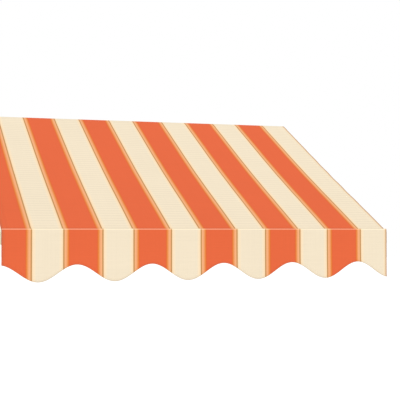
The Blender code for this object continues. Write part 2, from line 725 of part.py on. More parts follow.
def spring_coil():
    """A round wire wound in a helix along Y, from the shoulder's spigot towards the elbow."""
    start = -NECK - FLANGE - SPIGOT - SPRING_WIRE_RADIUS - GAP
    shape = bmesh.new()
    rings = []
    for i in range(SPRING_TURNS * SPRING_STEPS + 1):
        turn = 2 * math.pi * i / SPRING_STEPS
        y = start - SPRING_LENGTH * i / (SPRING_TURNS * SPRING_STEPS)
        out = Vector((math.cos(turn), 0, math.sin(turn)))
        centre = out * SPRING_RADIUS + Vector((0, y, 0))
        ring = []
        for j in range(SPRING_WIRE_SIDES):
            angle = 2 * math.pi * j / SPRING_WIRE_SIDES
            offset = out * math.cos(angle) + Vector((0, math.sin(angle), 0))
            ring.append(shape.verts.new(centre + SPRING_WIRE_RADIUS * offset))
        rings.append(ring)
    for low, high in zip(rings, rings[1:]):
        for j in range(SPRING_WIRE_SIDES):
            k = (j + 1) % SPRING_WIRE_SIDES
            shape.faces.new((low[j], low[k], high[k], high[j]))
    shape.faces.new(rings[0])
    shape.faces.new(rings[-1])
    bmesh.ops.recalc_face_normals(shape, faces=shape.faces)
    return shape


def spring_cable():
    """The cable from the spring's far end, through the elbow casting."""
    disc_top = -NECK - FLANGE - SPIGOT - SPRING_LENGTH - 2 * (SPRING_WIRE_RADIUS + GAP)
    foot = -ARM_RUN + ELBOW_NECK + FLANGE / 2
    disc_foot = disc_top - CABLE_DISC
    return headed(CABLE_RADIUS, foot, disc_foot, CABLE_DISC_RADIUS, disc_top, "Y", sides=SMALL_SIDES)


def arm_halves(side_name, side):
    """The rear half, which turns at the shoulder, and the front half, which turns at the elbow."""
    inward = Matrix.Scale(-side, 4, (1, 0, 0))
    shoulder = (side * SHOULDER_X, 0, 0)
    turn = -side * (REST_ANGLE + TUBE_TURN)
    rear = frame_at(f"{side_name}_rear_axis", shoulder, arm_plane, (0, 0, turn))
    elbow_x = side * (SHOULDER_X - ARM_LENGTH * math.sin(REST_ANGLE))
    elbow = (elbow_x, -ARM_LENGTH * math.cos(REST_ANGLE), 0)
    front = frame_at(f"{side_name}_front_axis", elbow, arm_plane, (0, 0, -turn))

    at_shoulder = inward
    tube, bore = arm_tube(REAR_WIDTH, REAR_HEIGHT, at_shoulder)
    make(f"{side_name}_rear_arm", tube, CREAM_COAT, rear, cuts=[bore])
    body, *others = knuckle(REAR_WIDTH, REAR_HEIGHT, at_shoulder)
    make(f"{side_name}_shoulder_knuckle", body, CREAM_COAT, rear, joins=others, cuts=[pin_hole(REAR_HEIGHT)])
    body, *others = elbow_casting(REAR_WIDTH, REAR_HEIGHT, at_shoulder, forked=True)
    elbow_at = (side * ELBOW_OFFSET, -ARM_RUN, 0)
    cable_hole = rod(CABLE_RADIUS + TURN_GAP, -ARM_RUN + ELBOW_NECK, -ARM_RUN / 2, "Y", sides=SMALL_SIDES)
    make(
        f"{side_name}_elbow_fork",
        body,
        CREAM_COAT,
        rear,
        joins=others,
        cuts=[pin_hole(REAR_HEIGHT, elbow_at), cable_hole],
    )
    hinge_pin(f"{side_name}_elbow_pin", REAR_HEIGHT, rear, elbow_at)
    make(f"{side_name}_arm_spring", moved(spring_coil(), inward), SPRING_STEEL, rear)
    make(f"{side_name}_spring_cable", spring_cable(), STEEL, rear)

    at_elbow = (
        Matrix.Translation((-side * ELBOW_OFFSET, -ARM_RUN, 0)) @ Matrix.Scale(-1, 4, (0, 1, 0)) @ inward
    )
    tube, bore = arm_tube(FRONT_WIDTH, FRONT_HEIGHT, at_elbow)
    make(f"{side_name}_front_arm", tube, CREAM_COAT, front, cuts=[bore])
    body, *others = elbow_casting(FRONT_WIDTH, FRONT_HEIGHT, at_elbow, forked=False)
    make(f"{side_name}_elbow_tongue", body, CREAM_COAT, front, joins=others, cuts=[pin_hole(FRONT_HEIGHT)])
    body, *others = knuckle(FRONT_WIDTH, FRONT_HEIGHT, at_elbow)
    front_at = (-side * ELBOW_OFFSET, -ARM_RUN, 0)
    front_hole = pin_hole(FRONT_HEIGHT, front_at)
    make(f"{side_name}_front_knuckle", body, CREAM_COAT, front, joins=others, cuts=[front_hole])


for side_name, side in SIDES:
    arm_halves(side_name, side)


def channel(neck_y):
    """The cutters of a channel for a hem: a round bore and the slot above it."""
    bore = rod(CHANNEL_RADIUS, -FABRIC_WIDTH, FABRIC_WIDTH, "X", (0, neck_y, CHANNEL_Z), HEM_SIDES)
    slot = box(
        (-FABRIC_WIDTH, neck_y - CHANNEL_SLOT / 2, CHANNEL_Z),
        (FABRIC_WIDTH, neck_y + CHANNEL_SLOT / 2, RAIL_TOP_Z + CHANNEL_LIP),
    )
    return [bore, slot]


# Front rail: a hollow extrusion with a channel for the canopy's hem and one for the valance's
RAIL_MID_Y = RAIL_FRONT_Y + RAIL_DEPTH / 2
CAVITY_TOP = CHANNEL_Z - CHANNEL_RADIUS - CHANNEL_FLOOR
CAVITY_BOTTOM = RAIL_TOP_Z - RAIL_HEIGHT + RAIL_WALL
CAVITY_MID = (RAIL_MID_Y, (CAVITY_TOP + CAVITY_BOTTOM) / 2)
CAVITY_SIZE = (RAIL_DEPTH - 2 * RAIL_WALL, CAVITY_TOP - CAVITY_BOTTOM)
RAIL_BOLT_Z = FRONT_Z - RAIL_BOLT_DOWN


def rail_bolt_hole(x, reach):
    """The cutter of a rail bolt's hole, through the rail's back wall and the bracket's base."""
    return rod(RAIL_BOLT_RADIUS + TURN_GAP, -reach, reach, "Y", (x, RAIL_BACK_Y, RAIL_BOLT_Z), SMALL_SIDES)


make(
    "front_rail",
    extruded(
        rounded(RAIL_DEPTH, RAIL_HEIGHT, RAIL_CORNER, (RAIL_MID_Y, RAIL_TOP_Z - RAIL_HEIGHT / 2)),
        -FABRIC_EDGE,
        FABRIC_EDGE,
        "X",
    ),
    CREAM_COAT,
    cuts=[
        extruded(rounded(*CAVITY_SIZE, RAIL_CORNER, CAVITY_MID, steps=1), -FABRIC_WIDTH, FABRIC_WIDTH, "X"),
        *channel(CANOPY_NECK_Y),
        *channel(VALANCE_NECK_Y),
        *[rail_bolt_hole(side * SHOULDER_X, 2 * RAIL_WALL) for _, side in SIDES],
    ],
)


def rail_cap(side_name, side):
    """A plate over the rail's hollow end, with a plug inside it."""
    plate_ends = sorted((side * (FABRIC_EDGE + GAP), side * (FABRIC_EDGE + GAP + RAIL_CAP_THICK)))
    plug_ends = sorted((side * (FABRIC_EDGE - RAIL_CAP_PLUG), side * (FABRIC_EDGE + RAIL_CAP_THICK / 2)))
    low = RAIL_TOP_Z - RAIL_HEIGHT
    high = CAVITY_TOP + RAIL_WALL
    plate = rounded(RAIL_DEPTH, high - low, RAIL_CORNER, (RAIL_MID_Y, (high + low) / 2))
    plug = rounded(CAVITY_SIZE[0] - 2 * GAP, CAVITY_SIZE[1] - 2 * GAP, RAIL_CORNER, CAVITY_MID, steps=1)
    make(
        f"{side_name}_rail_cap",
        extruded(plate, *plate_ends, "X"),
        CREAM_PLASTIC,
        joins=[extruded(plug, *plug_ends, "X")],
    )


def front_bracket(side_name, side):
    """A base on the rail's back face with the fork of the front hinge, its bolt and its pin."""
    x = side * SHOULDER_X
    half = FRONT_BRACKET_WIDTH / 2
    back = RAIL_BACK_Y + GAP
    to_fork = (Matrix.Translation((0, FRONT_Y, FRONT_Z)) @ Matrix.Rotation(ARM_PITCH, 4, "X")).inverted()
    top = RAIL_TOP_Z - RAIL_CORNER
    bottom = RAIL_BOLT_Z - RAIL_BOLT_HEAD_RADIUS - FRONT_BRACKET_BASE
    base = moved(box((-half, back, bottom), (half, back + FRONT_BRACKET_BASE, top)), to_fork)
    root = -FRONT_PIVOT_OUT - RAIL_WALL
    outline = hull(circle(FRONT_PLATE_RADIUS) + [(FRONT_PLATE_RADIUS, root), (-FRONT_PLATE_RADIUS, root)])
    web = box(
        (-FRONT_PLATE_RADIUS, -FRONT_PIVOT_OUT, -FRONT_HEIGHT / 2),
        (FRONT_PLATE_RADIUS, -FRONT_WEB, FRONT_HEIGHT / 2),
    )
    deep = FRONT_PIVOT_OUT + RAIL_DEPTH
    behind_face = box((-half - GAP, back - deep, bottom - deep), (half + GAP, back, top + deep))
    head_room = rod(
        RAIL_BOLT_HEAD_RADIUS + TURN_GAP,
        FRONT_BRACKET_BASE,
        deep,
        "Y",
        (0, back, RAIL_BOLT_Z),
        SMALL_SIDES,
    )
    in_rail_frame = [behind_face, rail_bolt_hole(0, deep), head_room]
    make(
        f"{side_name}_front_bracket",
        base,
        CREAM_COAT,
        arm_plane,
        (x, -ARM_REACH, 0),
        joins=[web, *fork_plates(outline, FRONT_HEIGHT)],
        cuts=[*[moved(shape, to_fork) for shape in in_rail_frame], pin_hole(FRONT_HEIGHT)],
    )
    reach = FRONT_BRACKET_BASE + RAIL_WALL
    shank = (RAIL_BOLT_RADIUS, -reach, GAP)
    head = (RAIL_BOLT_HEAD_RADIUS, RAIL_BOLT_RADIUS)
    bolt = headed(*shank, *head, "Y", sides=SMALL_SIDES)
    make(f"{side_name}_rail_bolt", bolt, STEEL, at=(x, back + FRONT_BRACKET_BASE, RAIL_BOLT_Z))
    hinge_pin(f"{side_name}_front_pin", FRONT_HEIGHT, arm_plane, (x, -ARM_REACH, 0))


for side_name, side in SIDES:
    rail_cap(side_name, side)
    front_bracket(side_name, side)


def hemmed(name, line, hem_y, material, cuts=()):
    """A sheet as wide as the awning about a line of (y, z), with a hem loop round a keder at its end."""
    loop = rod(HEM_LOOP_RADIUS, -FABRIC_EDGE, FABRIC_EDGE, "X", (0, hem_y, CHANNEL_Z), HEM_SIDES)
    bore = rod(KEDER_RADIUS + GAP, -FABRIC_WIDTH, FABRIC_WIDTH, "X", (0, hem_y, CHANNEL_Z), HEM_SIDES)
    sheet = extruded(ribbon(line, FABRIC_THICK), -FABRIC_EDGE, FABRIC_EDGE, "X")
    make(name, sheet, material, joins=[loop], cuts=[bore, *cuts])
    keder = rod(KEDER_RADIUS, -FABRIC_EDGE, FABRIC_EDGE, "X", (0, hem_y, CHANNEL_Z), HEM_SIDES)
    make(f"{name}_keder", keder, DARK_PLASTIC)


def canopy_line():
    """From the tangent on the roll straight to the rail, and down into its channel."""
    entry = (CANOPY_NECK_Y, RAIL_TOP_Z + FABRIC_THICK)
    roll_gap = ROLL_RADIUS + GAP + FABRIC_THICK / 2
    away = (entry[0] - ROLLER_Y, entry[1] - ROLLER_Z)
    lie = math.atan2(away[1], away[0]) % (2 * math.pi)
    tangent = lie - math.acos(roll_gap / math.hypot(*away))
    start = (ROLLER_Y + roll_gap * math.cos(tangent), ROLLER_Z + roll_gap * math.sin(tangent))
    return [start, entry, (CANOPY_NECK_Y, CHANNEL_Z + KEDER_RADIUS + FABRIC_THICK)]


def valance_line():
    """Out of its channel, over the rail's front edge in a half round, and down."""
    hang_y = FOLD_Y + FABRIC_THICK / 2
    radius = (VALANCE_NECK_Y - hang_y) / 2
    centre = (hang_y + radius, FOLD_Z - FABRIC_THICK / 2 - radius)
    turns = [math.pi * i / BEND_STEPS for i in range(BEND_STEPS + 1)]
    over = [(centre[0] + radius * math.cos(t), centre[1] + radius * math.sin(t)) for t in turns]
    neck = (VALANCE_NECK_Y, CHANNEL_Z + KEDER_RADIUS + FABRIC_THICK)
    return [neck, *over, (hang_y, HEM_Z - HEM_SPARE)]


def hem_wave():
    """The cutter below the wavy hem, a little wider than the valance."""
    step = WAVE_LENGTH / WAVE_STEPS
    first = math.floor((-FABRIC_EDGE - WAVE_PEAK_X) / step) - 1
    last = math.ceil((FABRIC_EDGE - WAVE_PEAK_X) / step) + 1
    points = []
    for i in range(first, last + 1):
        wave = math.cos(2 * math.pi * i / WAVE_STEPS)
        points.append((WAVE_PEAK_X + i * step, HEM_Z + WAVE_HEIGHT * wave))
    deep = HEM_Z - 2 * HEM_SPARE
    points += [(points[-1][0], deep), (points[0][0], deep)]
    return extruded(points, FOLD_Y - RAIL_DEPTH, FOLD_Y + RAIL_DEPTH, "Y")


hemmed("canopy", canopy_line(), CANOPY_NECK_Y, ORANGE_FABRIC)
hemmed("valance", valance_line(), VALANCE_NECK_Y, CREAM_FABRIC, cuts=[hem_wave()])
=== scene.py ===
"""A striped fabric awning with a wavy valance on two folding arms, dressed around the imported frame."""

import json
import math

import bmesh
import bpy
import numpy as np
from mathutils import Matrix, Vector


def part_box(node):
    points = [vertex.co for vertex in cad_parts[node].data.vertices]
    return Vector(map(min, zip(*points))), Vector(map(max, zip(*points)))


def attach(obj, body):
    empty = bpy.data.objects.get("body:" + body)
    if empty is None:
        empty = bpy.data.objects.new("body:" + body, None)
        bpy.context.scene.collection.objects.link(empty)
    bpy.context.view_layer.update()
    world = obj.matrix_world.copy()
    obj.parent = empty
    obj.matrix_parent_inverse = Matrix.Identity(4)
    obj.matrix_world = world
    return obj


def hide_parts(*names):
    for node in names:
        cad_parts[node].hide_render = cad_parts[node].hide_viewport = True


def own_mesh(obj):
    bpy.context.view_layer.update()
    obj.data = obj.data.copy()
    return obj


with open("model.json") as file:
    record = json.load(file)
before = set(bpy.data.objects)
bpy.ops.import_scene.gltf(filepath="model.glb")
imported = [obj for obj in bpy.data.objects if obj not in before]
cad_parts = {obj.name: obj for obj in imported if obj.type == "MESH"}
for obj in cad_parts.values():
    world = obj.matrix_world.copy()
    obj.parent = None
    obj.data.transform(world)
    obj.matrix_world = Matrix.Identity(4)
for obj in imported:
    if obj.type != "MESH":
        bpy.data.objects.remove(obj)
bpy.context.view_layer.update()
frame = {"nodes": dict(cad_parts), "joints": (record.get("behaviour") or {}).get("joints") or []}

# The room: a pale floor well below the awning, an even white surround, and one broad soft lamp
# high in front of the fabric. The camera stands low and to the left, nearly level with the rail.
CAMERA_AT = (-1.567, -6.200, -0.557)
CAMERA_YAW = math.radians(18.02)
CAMERA_RISE = math.radians(1.68)
CAMERA_LENS = 90.39
CAMERA_REACH = 200.0
FLOOR_Z = -2.35
FLOOR_RADIUS = 60.0
FLOOR_SIDES = 96
FLOOR_LIFT = 0.42
SURROUND_LEVEL = 0.58
LAMP_STRENGTH = 1.55
LAMP_SPREAD = math.radians(25)
LAMP_FROM = Vector((-0.40, -0.78, 0.68))

scene = bpy.context.scene
scene.view_settings.view_transform = "Standard"
camera = bpy.data.objects.new("camera", bpy.data.cameras.new("camera"))
camera.location = CAMERA_AT
camera.rotation_euler = (math.pi / 2 + CAMERA_RISE, 0, -CAMERA_YAW)
camera.data.lens = CAMERA_LENS
camera.data.sensor_width = 36.0
camera.data.clip_end = CAMERA_REACH
scene.collection.objects.link(camera)
scene.camera = camera

lamp = bpy.data.objects.new("soft_lamp", bpy.data.lights.new("soft_lamp", "SUN"))
lamp.data.energy = LAMP_STRENGTH
lamp.data.angle = LAMP_SPREAD
lamp.rotation_euler = LAMP_FROM.to_track_quat("Z", "Y").to_euler()
scene.collection.objects.link(lamp)


class Wire:
    """A shader value on its way through a node tree: arithmetic on it adds Math nodes."""

    def __init__(self, tree, socket):
        self.tree = tree
        self.socket = socket

    def node(self, kind, values, out=0, stops=(), **settings):
        """Any node: its settings first, then the values or wires of its inputs, by name or number."""
        made = self.tree.nodes.new("ShaderNode" + kind)
        for name, value in settings.items():
            setattr(made, name, value)
        for i, (place, tone) in enumerate(stops):
            elements = made.color_ramp.elements
            stop = elements[i] if i < 2 else elements.new(place)
            stop.position = place
            stop.color = tone
        for key, value in dict(values).items():
            if isinstance(value, Wire):
                self.tree.links.new(value.socket, made.inputs[key])
            else:
                made.inputs[key].default_value = value
        return Wire(self.tree, made.outputs[out])

    def maths(self, operation, *values):
        return self.node("Math", enumerate(values), operation=operation)

    def __add__(self, other):
        return self.maths("ADD", self, other)

    def __sub__(self, other):
        return self.maths("SUBTRACT", self, other)

    def __rsub__(self, other):
        return self.maths("SUBTRACT", other, self)

    def __mul__(self, other):
        return self.maths("MULTIPLY", self, other)

    def __mod__(self, other):
        return self.maths("FLOORED_MODULO", self, other)

    def __abs__(self):
        return self.maths("ABSOLUTE", self)

    __radd__ = __add__
    __rmul__ = __mul__

    def sine(self):
        return self.maths("SINE", self)

    def axis(self, number):
        return self.node("SeparateXYZ", {0: self}, out=number)

    def along(self, direction):
        """How far a place lies along a direction."""
        return self.node("VectorMath", {0: self, 1: tuple(direction)}, out=1, operation="DOT_PRODUCT")

    def noise(self, scale, detail=2.0, stretch=(1.0, 1.0, 1.0)):
        """Cloudy values about one half; stretch squeezes the pattern along each axis."""
        place = self.node("VectorMath", {0: self, 1: stretch}, operation="MULTIPLY")
        return self.node("TexNoise", {"Vector": place, "Scale": scale, "Detail": detail})

    def between(self, low, high):
        """0 at low, 1 at high, and smooth between them."""
        return self.node("MapRange", {0: self, 1: low, 2: high}, interpolation_type="SMOOTHSTEP")

    def mixed(self, first, second):
        """One colour where the wire is 0 and another where it is 1."""
        return self.node("Mix", {0: self, 6: first, 7: second}, out=2, data_type="RGBA")

    def scaled(self, factor):
        """A colour made lighter or darker."""
        return self.node("VectorMath", {0: self, "Scale": factor}, operation="SCALE")

    def into(self, shader, name):
        self.tree.links.new(self.socket, shader.inputs[name])


def colour(red, green, blue):
    """A linear colour from its 8-bit display values."""
    levels = [level / 255 for level in (red, green, blue)]
    return (*[v / 12.92 if v <= 0.04045 else ((v + 0.055) / 1.055) ** 2.4 for v in levels], 1.0)


def material(name):
    """A new material, its shader, and the wire of the object's own coordinates."""
    made = bpy.data.materials.new(name)
    made.use_nodes = True
    tree = made.node_tree
    coordinates = tree.nodes.new("ShaderNodeTexCoord")
    return made, tree.nodes["Principled BSDF"], Wire(tree, coordinates.outputs["Object"])


WHITE = (1.0, 1.0, 1.0, 1.0)
BLACK = (0.0, 0.0, 0.0, 1.0)
world = bpy.data.worlds.new("white_surround")
scene.world = world
world.use_nodes = True
surround = world.node_tree.nodes["Background"]
surround.inputs["Color"].default_value = WHITE
rays = world.node_tree.nodes.new("ShaderNodeLightPath")
ray_kinds = ("Is Camera Ray", "Is Glossy Ray", "Is Transmission Ray")
camera_ray, glossy_ray, glass_ray = [Wire(world.node_tree, rays.outputs[kind]) for kind in ray_kinds]
seen = camera_ray.maths("MINIMUM", camera_ray + glossy_ray + glass_ray, 1.0)
(SURROUND_LEVEL + seen * (1.0 - SURROUND_LEVEL)).into(surround, "Strength")

disc = bmesh.new()
bmesh.ops.create_circle(disc, cap_ends=True, segments=FLOOR_SIDES, radius=FLOOR_RADIUS)
floor = bpy.data.objects.new("floor", bpy.data.meshes.new("floor"))
disc.to_mesh(floor.data)
disc.free()
floor.location.z = FLOOR_Z
scene.collection.objects.link(floor)
floor_paint, shader, here = material("floor_paint")
shader.inputs["Base Color"].default_value = (0.90, 0.90, 0.90, 1.0)
shader.inputs["Roughness"].default_value = 0.9
shader.inputs["Specular IOR Level"].default_value = 0.0
shader.inputs["Emission Strength"].default_value = FLOOR_LIFT
rays = here.tree.nodes.new("ShaderNodeLightPath")
Wire(here.tree, rays.outputs["Is Camera Ray"]).mixed(BLACK, WHITE).into(shader, "Emission Color")
floor.data.materials.append(floor_paint)

# Torsion bar: a square steel tube along the wall, which carries everything. It is drilled first and
# then powder-coated cream, so the coat rolls over every edge and dust settles on its upper faces.
COAT = colour(226, 216, 195)
COAT_SHADE = colour(214, 203, 180)
DUST = colour(190, 178, 156)


def powder_coat(name, peel_scale, peel_depth):
    """A baked coat with orange peel, clouded a little, and dusty where it faces up."""
    made, shader, here = material(name)
    peel = here.noise(peel_scale, 2.0)
    cloud = here.noise(5.0, 4.0).between(0.35, 0.70)
    facing_up = here.node("NewGeometry", {}, out=1).axis(2).between(0.35, 0.95)
    dusty = facing_up * here.noise(38.0, 5.0).between(0.42, 0.68) * 0.55
    paint = dusty.mixed(cloud.mixed(COAT, COAT_SHADE), DUST)
    paint.scaled(0.97 + peel * 0.06).into(shader, "Base Color")
    (0.30 + peel * 0.14 + dusty * 0.35).into(shader, "Roughness")
    here.node("Bump", {"Height": peel, "Strength": 0.25, "Distance": peel_depth}).into(shader, "Normal")
    return made


def dress(node, finish, edge=0.0006, segments=2):
    """Gives a CAD node its finish and eases its edges with a small round.

    The round of a casting, with three segments, runs on where a short edge would stop it."""
    piece = frame["nodes"][node]
    piece.data.materials.clear()
    piece.data.materials.append(finish)
    weld = piece.modifiers.new("weld", "WELD")
    weld.merge_threshold = 0.00001
    if edge:
        flats = piece.modifiers.new("flats", "DECIMATE")
        flats.decimate_type = "DISSOLVE"
        flats.angle_limit = math.radians(0.5)
        ease = piece.modifiers.new("ease", "BEVEL")
        ease.width = edge
        ease.segments = segments
        ease.use_clamp_overlap = segments < 3
        ease.limit_method = "ANGLE"
        ease.angle_limit = math.radians(32)
        ease.harden_normals = True


TUBE_COAT = powder_coat("cream_coat_on_tube", 700.0, 0.0003)
CAST_COAT = powder_coat("cream_coat_on_casting", 420.0, 0.0006)
dress("torsion_bar", TUBE_COAT)

# Wall brackets: a cast plate for two wall bolts with a seat for the bar, and a jaw that a plated
# hexagon bolt pulls over it, on a pressed washer.
BOLT_HEAD = 0.005
BOLT_HEAD_RADIUS = 0.0075
BOLT_RADIUS = 0.004
WASHER = 0.0013
ROUND_SIDES = 24


def plated_metal(name, bright, dark, rough, scratch_scale):
    """Bare or plated metal: cloudy crystals, fine scratches and a roughness that follows them."""
    made, shader, here = material(name)
    crystals = here.noise(240.0, 3.0).between(0.3, 0.7)
    scratches = here.noise(scratch_scale, 1.0, (1.0, 1.0, 0.06))
    crystals.mixed(dark, bright).into(shader, "Base Color")
    (rough + crystals * 0.12 + scratches * 0.10).into(shader, "Roughness")
    here.node("Bump", {"Height": scratches, "Strength": 0.15, "Distance": 0.0002}).into(shader, "Normal")
    shader.inputs["Metallic"].default_value = 1.0
    return made


ZINC = plated_metal("zinc_plate", colour(204, 206, 208), colour(158, 160, 164), 0.34, 1800.0)


def finished(name, vertices, faces, finish, sharp=35):
    """A mesh piece with its faces pointing out, smooth but for its sharp edges."""
    shape = bmesh.new()
    places = [shape.verts.new(place) for place in vertices]
    for face in faces:
        shape.faces.new([places[i] for i in face])
    shape.normal_update()
    bmesh.ops.recalc_face_normals(shape, faces=shape.faces)
    mesh = bpy.data.meshes.new(name)
    shape.to_mesh(mesh)
    shape.free()
    mesh.shade_smooth()
    mesh.set_sharp_from_angle(angle=math.radians(sharp))
    mesh.materials.append(finish)
    piece = bpy.data.objects.new(name, mesh)
    scene.collection.objects.link(piece)
    return piece


def lathed(rings):
    """Vertices and faces of a body turned about Z, from rings of (radius, height, shape).

    A ring is round, or hexagonal with that radius at its corners; a radius of 0 is a point."""
    vertices, faces, before = [], [], None
    for radius, height, shape in rings:
        count = ROUND_SIDES if radius else 1
        start = len(vertices)
        for i in range(count):
            turn = 2 * math.pi * i / ROUND_SIDES
            reach = radius
            if shape == "hexagon":
                reach *= math.cos(math.pi / 6) / math.cos((turn % (math.pi / 3)) - math.pi / 6)
            vertices.append(Vector((reach * math.cos(turn), reach * math.sin(turn), height)))
        if before is not None:
            first, many = before
            for i in range(ROUND_SIDES):
                j = (i + 1) % ROUND_SIDES
                corners = (first + i % many, first + j % many, start + j % count, start + i % count)
                faces.append(tuple(dict.fromkeys(corners)))
        before = (start, count)
    return vertices, faces


def gathered(parts, place=Matrix()):
    """Several bodies, each as vertices and faces, in one list, moved to their place."""
    vertices, faces = [], []
    for points, corners in parts:
        faces += [tuple(len(vertices) + i for i in face) for face in corners]
        vertices += [place @ Vector(point) for point in points]
    return vertices, faces


def aimed(at, toward):
    """The frame at a point whose Z axis points along toward."""
    return Matrix.Translation(at) @ Vector(toward).to_track_quat("Z", "Y").to_matrix().to_4x4()


def round_rings(*rings):
    return [(radius, height, "round") for radius, height in rings]


def shank(radius, length):
    """A bolt's shank from its seat down to a chamfered end."""
    chamfer = radius / 4
    rings = ((0, 0), (radius, 0), (radius, chamfer - length), (radius * 0.8, -length), (0, -length))
    return lathed(round_rings(*rings))


def hexagon_bolt(length):
    """A washer, a chamfered hexagon head and a shank, seated at height 0."""
    corner = BOLT_HEAD_RADIUS * 0.95
    washer = lathed(round_rings(
        (0, 0),
        (BOLT_HEAD_RADIUS - 0.0002, 0),
        (BOLT_HEAD_RADIUS, 0.0002),
        (BOLT_HEAD_RADIUS, WASHER),
        (0, WASHER),
    ))
    head = lathed([
        (0, WASHER, "hexagon"),
        (corner, WASHER, "hexagon"),
        (corner, BOLT_HEAD - 0.0006, "hexagon"),
        (corner * 0.84, BOLT_HEAD, "round"),
        (0, BOLT_HEAD, "round"),
    ])
    return [washer, head, shank(BOLT_RADIUS, length)]


def fastener(node, body, toward, head, parts_for):
    """Replaces a plain CAD fastener, whose head is that thick and points along toward."""
    low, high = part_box(node)
    toward = Vector(toward)
    middle = (low + high) / 2
    half = abs((high - low).dot(toward)) / 2
    seat = middle + toward * (half - head)
    vertices, faces = gathered(parts_for(2 * half - head), aimed(seat, toward))
    piece = finished(node + "_detailed", vertices, faces, ZINC)
    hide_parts(node)
    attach(piece, body)


for side in ("left", "right"):
    dress(f"{side}_wall_bracket", CAST_COAT, 0.0009, 3)
    dress(f"{side}_bracket_jaw", CAST_COAT, 0.0009, 3)
    fastener(f"{side}_jaw_bolt", "wall_frame", (0, -1, 0), BOLT_HEAD, hexagon_bolt)

# End brackets: a cast plate on each end of the bar, held by a countersunk socket screw from below,
# with a dark plastic bush for the roller's pin.
END_SCREW_RADIUS = 0.0025
END_SCREW_HEAD_RADIUS = 0.0045
END_SCREW_HEAD = 0.0025
SOCKET_DEPTH = 0.6


def socket_screw(head_radius, head, radius):
    """Makes the parts of a domed socket screw of these sizes, for any length."""
    key = head_radius * 0.55

    def parts(length):
        top = lathed([
            (0, 0, "round"),
            (head_radius, 0, "round"),
            (head_radius, head * 0.45, "round"),
            (head_radius * 0.86, head * 0.85, "round"),
            (head_radius * 0.68, head, "round"),
            (key, head, "hexagon"),
            (key, head * (1 - SOCKET_DEPTH), "hexagon"),
            (0, head * (1 - SOCKET_DEPTH), "round"),
        ])
        return [top, shank(radius, length)]

    return parts


def moulded(name, tone, shade):
    """Moulded plastic with a fine spark-eroded grain."""
    made, shader, here = material(name)
    grain = here.noise(1100.0, 2.0)
    cloud = here.noise(14.0, 3.0)
    cloud.mixed(shade, tone).scaled(0.95 + grain * 0.1).into(shader, "Base Color")
    (0.38 + grain * 0.22).into(shader, "Roughness")
    here.node("Bump", {"Height": grain, "Strength": 0.3, "Distance": 0.0002}).into(shader, "Normal")
    return made


CREAM_PLASTIC = moulded("cream_moulding", colour(228, 218, 198), colour(219, 208, 187))
DARK_PLASTIC = moulded("dark_moulding", colour(58, 58, 61), colour(44, 44, 47))
for side in ("left", "right"):
    dress(f"{side}_end_bracket", CAST_COAT, 0.0009, 3)
    dress(f"{side}_roller_bush", DARK_PLASTIC, 0.0003)
    screw = socket_screw(END_SCREW_HEAD_RADIUS, END_SCREW_HEAD, END_SCREW_RADIUS)
    fastener(f"{side}_end_screw", "wall_frame", (0, 0, -1), END_SCREW_HEAD, screw)

# Roller: a galvanised steel tube that the canopy winds up on. It turns between an idler cap and a
# driven cap, which are moulded plastic and pressed into its ends.
dress("roller_tube", ZINC, 0.0002)
dress("idler_cap", CREAM_PLASTIC, 0.0004)
dress("drive_cap", CREAM_PLASTIC, 0.0004)

# The cloth on the roller: the last two turns of the canopy, wound tight, whose edges don't lie
# quite level at the ends. It is solution-dyed acrylic, woven in block stripes: orange that shades
# into peach, a fine brown line on each side, and a warm cream ground between. A repeat is 342 mm.
STRIPE_REPEAT = 0.3418
STRIPE_CENTRE = 0.0695
ORANGE = colour(232, 106, 65)
CREAM = colour(243, 228, 201)
LINE = colour(198, 144, 88)
STRIPE_STOPS = (
    (0.0000, ORANGE),
    (0.0640, ORANGE),
    (0.0680, colour(226, 108, 56)),
    (0.0725, colour(232, 132, 62)),
    (0.0780, colour(240, 158, 98)),
    (0.0840, colour(246, 178, 130)),
    (0.0905, colour(246, 180, 128)),
    (0.0915, LINE),
    (0.0968, LINE),
    (0.0977, colour(246, 212, 170)),
    (0.1020, colour(252, 226, 188)),
    (0.1090, colour(250, 229, 196)),
    (0.1170, CREAM),
)
THREAD = 0.0010
RIB = 0.0285
RIM = 0.018
# Painted shade: the tone that the cloth darkens towards along its side edges.
EDGE_SHADE = colour(150, 106, 78)
ROLL_THICK = 0.0020
ROLL_END_STEP = 0.0010
INNER_TURN_LOW = 0.0018
INNER_TURN_HIGH = 0.0012
ROLL_STEPS = 96
ROLL_LENGTHS = 60
ROLL_LOW, ROLL_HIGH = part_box("fabric_roll")
HALF_WIDTH = ROLL_HIGH.x


def stripes(here):
    """The woven stripes: the distance from the middle of an orange one, and the colour there."""
    half = STRIPE_REPEAT / 2
    across = abs((here.axis(0) - (STRIPE_CENTRE - half)) % STRIPE_REPEAT - half)
    stops = [(place / half, tone) for place, tone in STRIPE_STOPS]
    return across, here.node("ValToRGB", {0: across * (1 / half)}, stops=stops)


